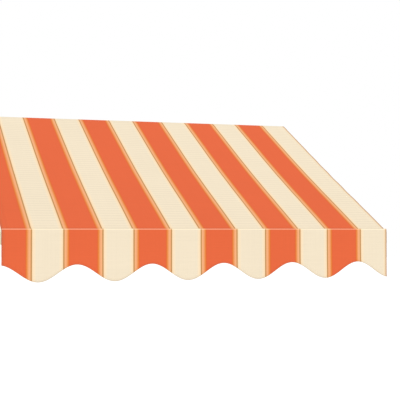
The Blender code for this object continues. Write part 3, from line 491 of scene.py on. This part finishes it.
def awning_cloth(name, down, ribbed=0.0, painted_light=None):
    """Acrylic canvas whose weft runs along X and whose warp runs along down.

    painted_light gives the final colour from the place, the cloth's own colour and the tone, where painted
    shade or a painted highlight is laid on."""
    made, shader, here = material(name)
    x = here.axis(0)
    run = here.along(down)
    across, paint = stripes(here)
    weave = (x * (2 * math.pi / THREAD)).sine() * (run * (2 * math.pi / THREAD)).sine()
    weft = here.noise(1.0, 3.0, (5.0, 420.0, 420.0)) - 0.5
    warp = here.noise(1.0, 2.0, (520.0, 3.0, 3.0)) - 0.5
    cloud = here.noise(3.0, 3.0) - 0.5
    tone = 1.0 + weft * 0.10 + warp * 0.07 + cloud * 0.05
    height = weave * 0.5 + weft * 1.5 + warp
    if ribbed:
        wander = here.noise(1.0, 2.0, (1.6, 9.0, 9.0)) * 2.4
        rib = (run * (2 * math.pi / RIB) + wander).sine().between(-0.2, 0.9)
        ground = across.between(0.100, 0.122)
        tone = tone + (0.5 - rib) * ground * ribbed
        height = height + (0.5 - rib) * ground
    # Painted shade: the colour darkens towards each side edge over the last RIM of the width.
    rim = abs(x).between(HALF_WIDTH - RIM, HALF_WIDTH) * 0.28
    last_line = x.between(HALF_WIDTH - 0.0066, HALF_WIDTH - 0.0046) * 0.85
    cloth_colour = rim.mixed(last_line.mixed(paint, LINE), EDGE_SHADE)
    final = painted_light(here, cloth_colour, tone) if painted_light else cloth_colour.scaled(tone)
    final.into(shader, "Base Color")
    (0.88 + weft * 0.2).into(shader, "Roughness")
    here.node("Bump", {"Height": height, "Strength": 0.35, "Distance": 0.0003}).into(shader, "Normal")
    shader.inputs["Specular IOR Level"].default_value = 0.06
    shader.inputs["Sheen Weight"].default_value = 0.02
    shader.inputs["Sheen Roughness"].default_value = 0.6
    return made


ROLL_CLOTH = awning_cloth("cloth_on_roller", (0, 0, 1))
roll_axis = Vector((0, (ROLL_LOW.y + ROLL_HIGH.y) / 2, (ROLL_LOW.z + ROLL_HIGH.z) / 2))
roll_outer = (ROLL_HIGH.z - ROLL_LOW.z) / 2
roll_inner = roll_outer - ROLL_THICK
inner_start, inner_end = -HALF_WIDTH + INNER_TURN_LOW, HALF_WIDTH - INNER_TURN_HIGH
roll_rings = [(inner_start, roll_inner), (inner_start, roll_inner + ROLL_END_STEP)]
for i in range(ROLL_LENGTHS + 1):
    x = -HALF_WIDTH + 2 * HALF_WIDTH * i / ROLL_LENGTHS
    slack = 0.00012 * (1 + math.sin(9.1 * x + 0.6) * math.sin(23.0 * x))
    roll_rings.append((x, roll_outer - 0.00008 - slack))
roll_rings += [(inner_end, roll_inner + ROLL_END_STEP), (inner_end, roll_inner)]
vertices = []
for x, radius in roll_rings:
    for i in range(ROLL_STEPS):
        turn = 2 * math.pi * i / ROLL_STEPS
        vertices.append((x, roll_axis.y + radius * math.cos(turn), roll_axis.z + radius * math.sin(turn)))
faces = []
for ring in range(len(roll_rings)):
    first = ring * ROLL_STEPS
    after = (ring + 1) % len(roll_rings) * ROLL_STEPS
    for i in range(ROLL_STEPS):
        j = (i + 1) % ROLL_STEPS
        faces.append((first + i, first + j, after + j, after + i))
roll = finished("cloth_on_roller", vertices, faces, ROLL_CLOTH)
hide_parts("fabric_roll")
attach(roll, "roller")

# Crank gear: a cast case on the left end bracket with a worm and its wheel inside, closed by two
# socket screws. The shaft comes out below and ends in the forged eye that the crank hooks into.
EYE_RADIUS = 0.013
EYE_WIRE = 0.0035
EYE_STEPS = 48
EYE_SIDES = 16
SHAFT_RADIUS = 0.004
SHAFT_SWELL_RADIUS = 0.0052
COLLAR_RADIUS = 0.0072
GEAR_SCREW_RADIUS = 0.002
GEAR_SCREW_HEAD_RADIUS = 0.0037
GEAR_SCREW_HEAD = 0.002
dress("gearbox_case", CAST_COAT, 0.0007, 3)
dress("worm_wheel", ZINC, 0.0003)
dress("worm", ZINC, 0.0003)
for place in ("upper", "lower"):
    screw = socket_screw(GEAR_SCREW_HEAD_RADIUS, GEAR_SCREW_HEAD, GEAR_SCREW_RADIUS)
    fastener(f"{place}_gear_screw", "wall_frame", (-1, 0, 0), GEAR_SCREW_HEAD, screw)
eye_low, eye_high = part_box("crank_eye")
case_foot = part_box("gearbox_case")[0].z
eye_x = (eye_low.x + eye_high.x) / 2
eye_y = (eye_low.y + eye_high.y) / 2
eye_z = eye_low.z + EYE_WIRE + EYE_RADIUS
eye_top = eye_z + EYE_RADIUS
shaft = lathed(round_rings(
    (0, eye_top - 0.0005),
    (SHAFT_RADIUS, eye_top - 0.0005),
    (SHAFT_SWELL_RADIUS, eye_top + 0.0025),
    (SHAFT_SWELL_RADIUS, eye_top + 0.0045),
    (SHAFT_RADIUS, eye_top + 0.0070),
    (SHAFT_RADIUS, case_foot - 0.0062),
    (COLLAR_RADIUS - 0.0006, case_foot - 0.0062),
    (COLLAR_RADIUS, case_foot - 0.0056),
    (COLLAR_RADIUS, case_foot - 0.0012),
    (COLLAR_RADIUS - 0.0006, case_foot - 0.0006),
    (SHAFT_RADIUS, case_foot - 0.0006),
    (SHAFT_RADIUS, eye_high.z),
    (0, eye_high.z),
))
vertices, faces = [], []
for i in range(EYE_STEPS):
    turn = 2 * math.pi * i / EYE_STEPS
    for j in range(EYE_SIDES):
        bend = 2 * math.pi * j / EYE_SIDES
        reach = EYE_RADIUS + EYE_WIRE * math.cos(bend)
        vertices.append((EYE_WIRE * math.sin(bend), reach * math.cos(turn), eye_z + reach * math.sin(turn)))
        first = i * EYE_SIDES
        after = (i + 1) % EYE_STEPS * EYE_SIDES
        k = (j + 1) % EYE_SIDES
        faces.append((first + j, first + k, after + k, after + j))
vertices, faces = gathered([shaft, (vertices, faces)], Matrix.Translation((eye_x, eye_y, 0)))
eye = finished("crank_eye_forged", vertices, faces, ZINC)
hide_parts("crank_eye")
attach(eye, "crank")

# Arm brackets: castings clamped round the bar by a bolt from below, whose forks carry the shoulders
# on headed steel pins. Each pin is kept by a spring ring in the groove at its foot.
PIN_RADIUS = 0.005
PIN_HEAD_RADIUS = 0.009
PIN_HEAD = 0.003
PIN_GAP = 0.0003
RING_RADIUS = 0.0078
RING_THICK = 0.0011
RING_OPEN = math.radians(38)
RING_STEPS = 28
REAR_HEIGHT = 0.040
FRONT_HEIGHT = 0.034
places = {joint["name"]: Vector(joint["pos_m"]) for joint in frame["joints"]}
ARM_NORMAL = Vector(next(joint["axis"] for joint in frame["joints"] if joint["name"] == "fold"))
for side in ("left", "right"):
    dress(f"{side}_arm_bracket", CAST_COAT, 0.0009, 3)
    fastener(f"{side}_clamp_bolt", "wall_frame", (0, 0, -1), BOLT_HEAD, hexagon_bolt)


def spring_ring(low):
    """An open flat ring about Z, from low up."""
    vertices, faces = [], []
    for i in range(RING_STEPS + 1):
        turn = RING_OPEN / 2 + (2 * math.pi - RING_OPEN) * i / RING_STEPS
        swell = RING_RADIUS - 0.0011 * abs(math.cos(turn / 2)) ** 4
        inside, high = PIN_RADIUS * 0.92, low + RING_THICK
        corners = ((inside, low), (swell, low), (swell, high), (inside, high))
        vertices += [(radius * math.cos(turn), radius * math.sin(turn), height) for radius, height in corners]
    for i in range(RING_STEPS):
        for j in range(4):
            k = (j + 1) % 4
            faces.append((4 * i + j, 4 * i + k, 4 * i + 4 + k, 4 * i + 4 + j))
    faces += [(0, 1, 2, 3), tuple(4 * RING_STEPS + j for j in (3, 2, 1, 0))]
    return vertices, faces


def hinge_pin(node, at, body, height):
    """A domed and headed pin across a fork of that height, with its spring ring."""
    top = height / 2 + PIN_GAP
    groove = -height / 2 - PIN_GAP - RING_THICK
    pin = lathed(round_rings(
        (0, groove - 0.0014),
        (PIN_RADIUS * 0.8, groove - 0.0014),
        (PIN_RADIUS, groove - 0.0008),
        (PIN_RADIUS, top),
        (PIN_HEAD_RADIUS - 0.0004, top),
        (PIN_HEAD_RADIUS, top + 0.0004),
        (PIN_HEAD_RADIUS, top + PIN_HEAD * 0.5),
        (PIN_HEAD_RADIUS * 0.88, top + PIN_HEAD * 0.85),
        (PIN_HEAD_RADIUS * 0.55, top + PIN_HEAD),
        (PIN_RADIUS * 0.3, top + PIN_HEAD),
        (PIN_RADIUS * 0.2, top + PIN_HEAD * 0.75),
        (0, top + PIN_HEAD * 0.7),
    ))
    vertices, faces = gathered([pin, spring_ring(groove)], aimed(at, ARM_NORMAL))
    piece = finished(node + "_detailed", vertices, faces, ZINC)
    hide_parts(node)
    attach(piece, body)


def on_side(place, side):
    """A place of the left arm, on either side."""
    return Vector((place.x if side == "left" else -place.x, place.y, place.z))


for side in ("left", "right"):
    hinge_pin(f"{side}_shoulder_pin", on_side(places["fold"], side), "wall_frame", REAR_HEIGHT)

# Arms: two rounded square tubes on each side, with castings plugged into their ends. The rear tube
# holds the spring, whose cable pulls the elbow straight and keeps the canopy taut.
SPRING_STEEL = plated_metal("spring_wire", colour(132, 132, 136), colour(84, 84, 88), 0.30, 900.0)
for side in ("left", "right"):
    for tube in ("rear_arm", "front_arm"):
        dress(f"{side}_{tube}", TUBE_COAT, 0.0004)
    for casting in ("shoulder_knuckle", "elbow_fork", "elbow_tongue", "front_knuckle"):
        dress(f"{side}_{casting}", CAST_COAT, 0.0005)
    dress(f"{side}_arm_spring", SPRING_STEEL, 0)
    dress(f"{side}_spring_cable", ZINC, 0)
    hinge_pin(f"{side}_elbow_pin", on_side(places["left_elbow"], side), f"{side}_rear_half", REAR_HEIGHT)

# Front rail: a hollow aluminium extrusion with one channel for the canopy and one for the valance,
# moulded end caps, and a cast fork bolted on for each arm. Plastic rods fill the hems.
RAIL_BOLT_RADIUS = 0.003
RAIL_BOLT_HEAD_RADIUS = 0.0055
RAIL_BOLT_HEAD = 0.0027
dress("front_rail", TUBE_COAT, 0.0004)
dress("canopy_keder", DARK_PLASTIC, 0.0003)
dress("valance_keder", DARK_PLASTIC, 0.0003)
for side in ("left", "right"):
    dress(f"{side}_rail_cap", CREAM_PLASTIC, 0.0010)
    dress(f"{side}_front_bracket", CAST_COAT, 0.0006, 3)
    hinge_pin(f"{side}_front_pin", on_side(places["left_front"], side), "front_bar", FRONT_HEIGHT)
    screw = socket_screw(RAIL_BOLT_HEAD_RADIUS, RAIL_BOLT_HEAD, RAIL_BOLT_RADIUS)
    fastener(f"{side}_rail_bolt", "front_bar", (0, 1, 0), RAIL_BOLT_HEAD, screw)

# Canopy: one cloth from the roller to the rail, stretched by the arms. Its side hems are turned
# under and sewn in two rows; its front end is a hem loop round a rod in the rail. As the arms fold,
# it winds up on the roller.
CLOTH_THICK = 0.0012
CLOTH_GAP = 0.0003
KEDER_LOW, KEDER_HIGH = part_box("canopy_keder")
CHANNEL_Z = (KEDER_LOW.z + KEDER_HIGH.z) / 2
ENTERS_RAIL = Vector((0, (KEDER_LOW.y + KEDER_HIGH.y) / 2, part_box("front_rail")[1].z + CLOTH_THICK))
LEAVING_RADIUS = roll_outer + CLOTH_GAP + CLOTH_THICK / 2
# The middle of the cloth runs straight from the rail's slot and just touches its path round the roll.
to_axis = roll_axis - ENTERS_RAIL
slope_angle = math.atan2(to_axis.z, to_axis.y) + math.asin(LEAVING_RADIUS / to_axis.length)
DOWN_SLOPE = Vector((0, -math.cos(slope_angle), -math.sin(slope_angle)))
SPAN = DOWN_SLOPE * math.sqrt(to_axis.length_squared - LEAVING_RADIUS ** 2)
LEAVES_ROLL = ENTERS_RAIL - SPAN
OFF_SLOPE = Vector((0, DOWN_SLOPE.z, -DOWN_SLOPE.y))
SAG = 0.008
SIDE_HEM = 0.028
HEM_STEP = 0.0004
HEM_THICK = 0.0010
HEM_RISE = 0.0002
HEM_PRESSED = 0.060
HEM_SEAMS = (0.006, 0.022)
SEAM_END = 0.988
LOOP_OUTER = 0.0034
LOOP_INNER = 0.0023
LOOP_SIDES = 24
LOOP_NECK = 0.0011
NECK_STEPS = 8
# Painted shade: how much darker the canopy gets just before it enters the rail, in the gap behind the
# valance's fold.
RAIL_GAP_SHADE = 0.10
LAST_TURN = math.radians(80)
LAST_TURN_STEPS = 24
LAST_TURN_SUNK = 0.0004
CANOPY_COLUMNS = 150
CANOPY_ROWS = 120
STITCH = 0.0034
STITCH_PITCH = 0.0044
STITCH_PROFILE = ((0.0, -0.5, 0.3), (0.2, 0.35, 1.0), (0.5, 0.6, 1.0), (0.8, 0.35, 1.0), (1.0, -0.5, 0.3))
THREAD_RADIUS = 0.00032


def canopy_dip(x, share):
    """How far the cloth hangs below its straight line, at x and a share of the way down."""
    arch = np.sin(math.pi * share) ** 2
    slack = SAG * (1 - 0.35 * np.abs(x) ** 3)
    near_hem = np.exp(-(HALF_WIDTH - np.abs(x)) / 0.09)
    flutter = 0.0011 * near_hem * np.sin(2 * math.pi * 7.5 * share + np.where(x > 0, 0.4, 2.3))
    rolled = 0.0003 * np.sin(2 * math.pi * share * 6.4) + 0.0006 * np.sin(2 * math.pi * x / 0.71 + 1.1)
    clear_of_roll = 0.0015 * np.sin(math.pi * np.clip(share / 0.05, 0, 1)) ** 2
    return arch * (slack + flutter + rolled) - clear_of_roll


def hem_build(share):
    """The part of the side hem's thickness that shows: it is pressed flat where it winds up."""
    return HEM_THICK * np.clip(share / HEM_PRESSED, 0, 1) ** 2


def hem_columns(count, hem):
    """Places across the cloth, with a close pair where each side hem ends."""
    step = HALF_WIDTH - hem
    even = np.linspace(-HALF_WIDTH, HALF_WIDTH, count + 1)
    return np.unique(np.concatenate([even, [-step - HEM_STEP, -step, step, step + HEM_STEP]]))


def closed_cloth(name, upper, lower, finish):
    """One closed sheet from the grids of its two faces, each rows by columns by 3."""
    rows, columns = upper.shape[:2]
    under = rows * columns
    cell = np.arange(under).reshape(rows, columns)
    corners = (cell[:-1, :-1], cell[1:, :-1], cell[1:, 1:], cell[:-1, 1:])
    top = np.stack(corners, -1).reshape(-1, 4)
    bottom = np.stack(corners[::-1], -1).reshape(-1, 4) + under
    rim = np.concatenate([cell[0, :-1], cell[:-1, -1], cell[-1, :0:-1], cell[:0:-1, 0]])
    after = np.roll(rim, -1)
    edge = np.stack([rim, after, after + under, rim + under], -1)
    vertices = np.concatenate([upper.reshape(-1, 3), lower.reshape(-1, 3)]).tolist()
    return finished(name, vertices, np.concatenate([top, bottom, edge]).tolist(), finish, 50)


def sewn(name, lines, finish):
    """Rows of lockstitch along lines of points, each with the direction that is up from the cloth.

    A stitch's profile gives, along its length, how high it lies and how thick it is there."""
    vertices, faces = [], []
    for points, up in lines:
        points = np.asarray(points, float)
        run = np.concatenate([[0], np.cumsum(np.linalg.norm(np.diff(points, axis=0), axis=1))])
        count = int(run[-1] / STITCH_PITCH)
        starts = (run[-1] - count * STITCH_PITCH) / 2 + STITCH_PITCH * np.arange(count)
        ends = []
        for part in (0, STITCH):
            ends.append(np.stack([np.interp(starts + part, run, points[:, k]) for k in range(3)], -1))
        for start, end in zip(*ends):
            forward = Vector(end - start)
            out = Vector(up)
            wide = forward.normalized().cross(out) * THREAD_RADIUS
            base = len(vertices)
            for share, lift, girth in STITCH_PROFILE:
                middle = Vector(start) + forward * share + out * (lift * THREAD_RADIUS)
                thick = out * (THREAD_RADIUS * girth)
                ring = (wide * girth, thick, -wide * girth, -thick)
                vertices += [middle + offset for offset in ring]
            for ring in range(len(STITCH_PROFILE) - 1):
                a, b = base + 4 * ring, base + 4 * ring + 4
                faces += [(a + j, a + (j + 1) % 4, b + (j + 1) % 4, b + j) for j in range(4)]
            last = base + 4 * (len(STITCH_PROFILE) - 1)
            faces += [(base + 3, base + 2, base + 1, base), (last, last + 1, last + 2, last + 3)]
    return finished(name, vertices, faces, finish)


def thread_finish():
    """Clear fluoropolymer thread, through which the colour of the cloth shows, a little darker."""
    made, shader, here = material("sewing_thread")
    ply = here.noise(1.0, 1.0, (900.0, 2600.0, 2600.0))
    stripes(here)[1].scaled(0.74 + ply * 0.26).into(shader, "Base Color")
    (0.35 + ply * 0.25).into(shader, "Roughness")
    return made


def hem_loop(name, neck_y, middle_z, neck_top, finish):
    """The loop of cloth round the rod in the rail's channel, with the neck that comes out of it."""
    half = LOOP_NECK / 2
    n = LOOP_SIDES
    ring = []
    for i in range(n):
        turn = 2 * math.pi * i / n
        ring.append((math.cos(turn), math.sin(turn)))
    vertices, faces = [], []
    for x in (-HALF_WIDTH, HALF_WIDTH):
        for radius in (LOOP_OUTER, LOOP_INNER):
            vertices += [(x, neck_y + radius * c, middle_z + radius * s) for c, s in ring]
    for i in range(n):
        j = (i + 1) % n
        faces += [(i, j, 2 * n + j, 2 * n + i), (n + i, 3 * n + i, 3 * n + j, n + j)]
        faces += [(i, n + i, n + j, j), (2 * n + i, 2 * n + j, 3 * n + j, 3 * n + i)]
    if neck_top:
        neck_foot = middle_z + LOOP_OUTER - 0.0002
        outline = [(neck_y - half, neck_foot), (neck_y + half, neck_foot)]
        for i in range(NECK_STEPS + 1):
            turn = math.pi * i / NECK_STEPS
            outline.append((neck_y + half * math.cos(turn), neck_top + half * math.sin(turn)))
        base, count = len(vertices), len(outline)
        vertices += [(x, y, z) for x in (-HALF_WIDTH, HALF_WIDTH) for y, z in outline]
        for i in range(count):
            j = (i + 1) % count
            faces.append((base + i, base + j, base + count + j, base + count + i))
        faces += [tuple(range(base, base + count)), tuple(range(base + 2 * count - 1, base + count - 1, -1))]
    piece = finished(name, vertices, faces, finish, 50)
    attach(piece, "front_bar")
    return piece


def shaded_by_rail(here, cloth_colour, tone):
    """The colour of the canopy, with painted shade over its last millimetres before the rail, in the gap
    behind the valance's fold.
    """
    rail_run = ENTERS_RAIL.dot(DOWN_SLOPE)
    gap_shade = here.along(DOWN_SLOPE).between(rail_run - 0.024, rail_run - 0.008) * RAIL_GAP_SHADE
    return cloth_colour.scaled(tone - gap_shade)


CANOPY_CLOTH = awning_cloth("canopy_cloth", DOWN_SLOPE, ribbed=0.055, painted_light=shaded_by_rail)
SEWING_THREAD = thread_finish()
columns = hem_columns(CANOPY_COLUMNS, SIDE_HEM)
x, share = np.meshgrid(columns, np.linspace(0, 1, CANOPY_ROWS + 1))
dip = canopy_dip(x, share)
in_hem = np.abs(x) > HALF_WIDTH - SIDE_HEM
middle = np.array(LEAVES_ROLL) + share[..., None] * np.array(SPAN) - dip[..., None] * np.array(OFF_SLOPE)
middle[..., 0] = x
upper = middle + (CLOTH_THICK / 2 + HEM_RISE * in_hem)[..., None] * np.array(OFF_SLOPE)
lower = middle - (CLOTH_THICK / 2 + hem_build(share) * in_hem)[..., None] * np.array(OFF_SLOPE)
canopy = closed_cloth("canopy_cloth", upper, lower, CANOPY_CLOTH)

# The outermost turn, from where it leaves the roll back to where it lies flush on the turn below.
from_axis = LEAVES_ROLL - roll_axis
turns = math.atan2(from_axis.z, from_axis.y) - np.linspace(0, LAST_TURN, LAST_TURN_STEPS + 1)
x, turn = np.meshgrid(columns, turns)
flush = roll_outer - LAST_TURN_SUNK
faces_of_turn = []
for above, lying in ((CLOTH_THICK / 2, flush), (-CLOTH_THICK / 2, flush - 0.75 * CLOTH_THICK)):
    leaving = LEAVING_RADIUS + above
    radius = leaving + (lying - leaving) * (turns[0] - turn) / LAST_TURN
    y, z = roll_axis.y + radius * np.cos(turn), roll_axis.z + radius * np.sin(turn)
    faces_of_turn.append(np.stack([x, y, z], -1))
last_turn = closed_cloth("canopy_last_turn", *faces_of_turn, CANOPY_CLOTH)

# Two rows of stitches along each side hem, on both faces, and the hem loop in the rail.
seams = []
for inset in HEM_SEAMS:
    for sign in (-1, 1):
        seam_x = sign * (HALF_WIDTH - inset)
        shares = np.linspace(HEM_PRESSED, SEAM_END, CANOPY_ROWS)
        for up, build in ((OFF_SLOPE, HEM_RISE), (-OFF_SLOPE, HEM_THICK)):
            drop = canopy_dip(np.full_like(shares, seam_x), shares)
            points = np.array(LEAVES_ROLL) + shares[:, None] * np.array(SPAN)
            points = points - drop[:, None] * np.array(OFF_SLOPE) + (CLOTH_THICK / 2 + build) * np.array(up)
            points[:, 0] = seam_x
            seams.append((points, up))
canopy_seams = sewn("canopy_seams", seams, SEWING_THREAD)
canopy_hem = hem_loop("canopy_hem", ENTERS_RAIL.y, CHANNEL_Z, ENTERS_RAIL.z, CANOPY_CLOTH)
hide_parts("canopy")
for piece in (canopy, last_turn, canopy_seams):
    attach(piece, "wall_frame")
for piece in (canopy, canopy_seams):
    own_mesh(piece)

# Valance: a strip of the same cloth that slides into its own channel, rolls over the rail's front
# edge and hangs free. Its wavy hem is bound with a folded tape and its sides are turned and sewn.
# The fold over the rail carries a painted highlight, and the very edge of the hem carries painted shade.
VALANCE_LOW, VALANCE_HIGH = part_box("valance")
FOLD_Z = VALANCE_HIGH.z
HANG_Y = VALANCE_LOW.y + CLOTH_THICK / 2
VALANCE_KEDER_LOW, VALANCE_KEDER_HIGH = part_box("valance_keder")
NECK_Y = (VALANCE_KEDER_LOW.y + VALANCE_KEDER_HIGH.y) / 2
HEM_DROP = 0.211
WAVE_HEIGHT = 0.041
WAVE_LENGTH = 0.369
WAVE_PEAK_X = -0.6445
WAVE_TURN = 2 * math.pi / WAVE_LENGTH
BEND_STEPS = 14
VALANCE_COLUMNS = 330
VALANCE_ROWS = 26
VALANCE_SIDE_HEM = 0.018
VALANCE_SEAMS = (0.005, 0.014)
VALANCE_SEAM_TOP = 0.016
SWAY = 0.0035
SWAY_START = 0.080
TAPE = 0.009
TAPE_THICK = 0.0006
TAPE_SEAM = 0.78
# Painted highlight along the fold over the rail.
FOLD_HIGHLIGHT = colour(255, 242, 208)
# Painted shade along the very edge of the hem.
HEM_SHADE_TONE = colour(176, 140, 108)


def hem_z(x):
    return FOLD_Z - HEM_DROP + WAVE_HEIGHT * np.cos(WAVE_TURN * (x - WAVE_PEAK_X))


def hanging_y(x, z):
    """The middle of the hanging cloth: it swells forward a little towards its hem."""
    share = np.clip((FOLD_Z - SWAY_START - z) / (HEM_DROP - SWAY_START), 0, 1) ** 1.5
    swell = 0.5 + 0.3 * np.sin(2 * math.pi * x / 0.63 + 0.7) + 0.2 * np.sin(2 * math.pi * x / 0.29 + 2.1)
    return HANG_Y - SWAY * share * swell


def fold_highlight_and_hem_shade(hem_shade_strength):
    """Makes the valance's painted light: a painted highlight along the fold and painted shade at the very
    edge of its hem.
    """

    def painted_light(here, cloth_colour, tone):
        x, z = here.axis(0), here.axis(2)
        # Painted highlight: a pale band high on the fold, which the tone also lightens.
        fold = z.between(FOLD_Z - 0.0056, FOLD_Z - 0.0036) * 0.26
        wave = x.maths("COSINE", (x - WAVE_PEAK_X) * WAVE_TURN)
        above_hem = z - wave * WAVE_HEIGHT - (FOLD_Z - HEM_DROP)
        # Painted shade: the last few millimetres above the hem's edge are darkened.
        hem_shade = (1.0 - above_hem.between(0.0005, 0.0045)) * hem_shade_strength
        paint = fold.mixed(cloth_colour, FOLD_HIGHLIGHT).scaled(tone + fold * 0.4)
        return hem_shade.mixed(paint, HEM_SHADE_TONE)

    return painted_light


VALANCE_CLOTH = awning_cloth("valance_cloth", (0, 0, 1), painted_light=fold_highlight_and_hem_shade(0.20))
TAPE_CLOTH = awning_cloth("valance_tape", (0, 0, 1), painted_light=fold_highlight_and_hem_shade(0.30))
bend = (NECK_Y - HANG_Y) / 2
bend_y = HANG_Y + bend
bend_z = FOLD_Z - CLOTH_THICK / 2 - bend
columns = hem_columns(VALANCE_COLUMNS, VALANCE_SIDE_HEM)
front, back = [], []
neck_foot = CHANNEL_Z + LOOP_OUTER - 0.0001
in_hem = np.abs(columns) > HALF_WIDTH - VALANCE_SIDE_HEM
behind = CLOTH_THICK / 2 + HEM_THICK * in_hem


def valance_row(y, z, out_y, out_z):
    """One row of the two faces: the line's point, and the direction that faces forward there."""
    front.append(np.stack([columns, y + out_y * CLOTH_THICK / 2, z + out_z * CLOTH_THICK / 2], -1))
    back.append(np.stack([columns, y - out_y * CLOTH_THICK / 2, z - out_z * CLOTH_THICK / 2], -1))


flat = np.zeros_like(columns)
for step in range(3):
    valance_row(flat + NECK_Y, flat + neck_foot + (bend_z - neck_foot) * step / 3, 1.0, 0.0)
for step in range(BEND_STEPS + 1):
    turn = math.pi * step / BEND_STEPS
    out_y, out_z = math.cos(turn), math.sin(turn)
    valance_row(flat + bend_y + bend * out_y, flat + bend_z + bend * out_z, out_y, out_z)
for step in range(1, VALANCE_ROWS + 1):
    z = bend_z + (hem_z(columns) - bend_z) * step / VALANCE_ROWS
    y = hanging_y(columns, z)
    front.append(np.stack([columns, y - CLOTH_THICK / 2, z], -1))
    back.append(np.stack([columns, y + (behind if step > 2 else CLOTH_THICK / 2), z], -1))
valance = closed_cloth("valance_cloth", np.array(front), np.array(back), VALANCE_CLOTH)

# The tape along the wavy hem, folded in half over the cloth's raw edge.
inner = CLOTH_THICK / 2 + 0.0001
outer = inner + TAPE_THICK
outline = [(outer, TAPE), (outer, 0.0), (outer * 0.7, -0.0006), (0.0, -0.0009), (-outer * 0.7, -0.0006)]
outline += [(-outer, 0.0), (-outer, TAPE), (-inner, TAPE), (-inner, 0.0), (inner, 0.0), (inner, TAPE)]
tape_x = np.linspace(-HALF_WIDTH, HALF_WIDTH, VALANCE_COLUMNS + 1)
slope = -WAVE_HEIGHT * WAVE_TURN * np.sin(WAVE_TURN * (tape_x - WAVE_PEAK_X))
length = np.sqrt(1 + slope ** 2)


def on_hem(rise):
    """Places on the cloth at that height above its wavy edge, square to the edge."""
    x = np.clip(tape_x - rise * slope / length, -HALF_WIDTH, HALF_WIDTH)
    z = hem_z(tape_x) + rise / length
    return x, hanging_y(x, z), z


vertices = []
rings = [on_hem(rise) for _, rise in outline]
for i in range(len(tape_x)):
    vertices += [(x[i], y[i] + off, z[i]) for (off, _), (x, y, z) in zip(outline, rings)]
count = len(outline)
faces = []
for i in range(len(tape_x) - 1):
    for j in range(count):
        k = (j + 1) % count
        faces.append((i * count + j, i * count + k, (i + 1) * count + k, (i + 1) * count + j))
faces += [tuple(range(count)), tuple(range(len(vertices) - 1, len(vertices) - count - 1, -1))]
tape = finished("valance_tape", vertices, faces, TAPE_CLOTH, 50)

seams = []
x, y, z = on_hem(TAPE * TAPE_SEAM)
for sign in (-1, 1):
    seams.append((np.stack([x, y + sign * outer, z], -1), (0, sign, 0)))
for inset in VALANCE_SEAMS:
    for sign in (-1, 1):
        z = np.linspace(FOLD_Z - VALANCE_SEAM_TOP, hem_z(sign * HALF_WIDTH) + TAPE + 0.004, 40)
        x = np.full_like(z, sign * (HALF_WIDTH - inset))
        y = hanging_y(x, z)
        seams.append((np.stack([x, y - CLOTH_THICK / 2, z], -1), (0, -1, 0)))
        seams.append((np.stack([x, y + CLOTH_THICK / 2 + HEM_THICK, z], -1), (0, 1, 0)))
valance_seams = sewn("valance_seams", seams, SEWING_THREAD)
valance_hem = hem_loop("valance_hem", NECK_Y, CHANNEL_Z, None, VALANCE_CLOTH)
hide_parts("valance")
for piece in (valance, tape, valance_seams):
    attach(piece, "front_bar")
over = (bend_z - neck_foot) + math.pi * bend
mean_drop = bend_z - (FOLD_Z - HEM_DROP)
round(over + mean_drop + WAVE_HEIGHT, 4)
round(2 * HALF_WIDTH * (over + mean_drop), 4)
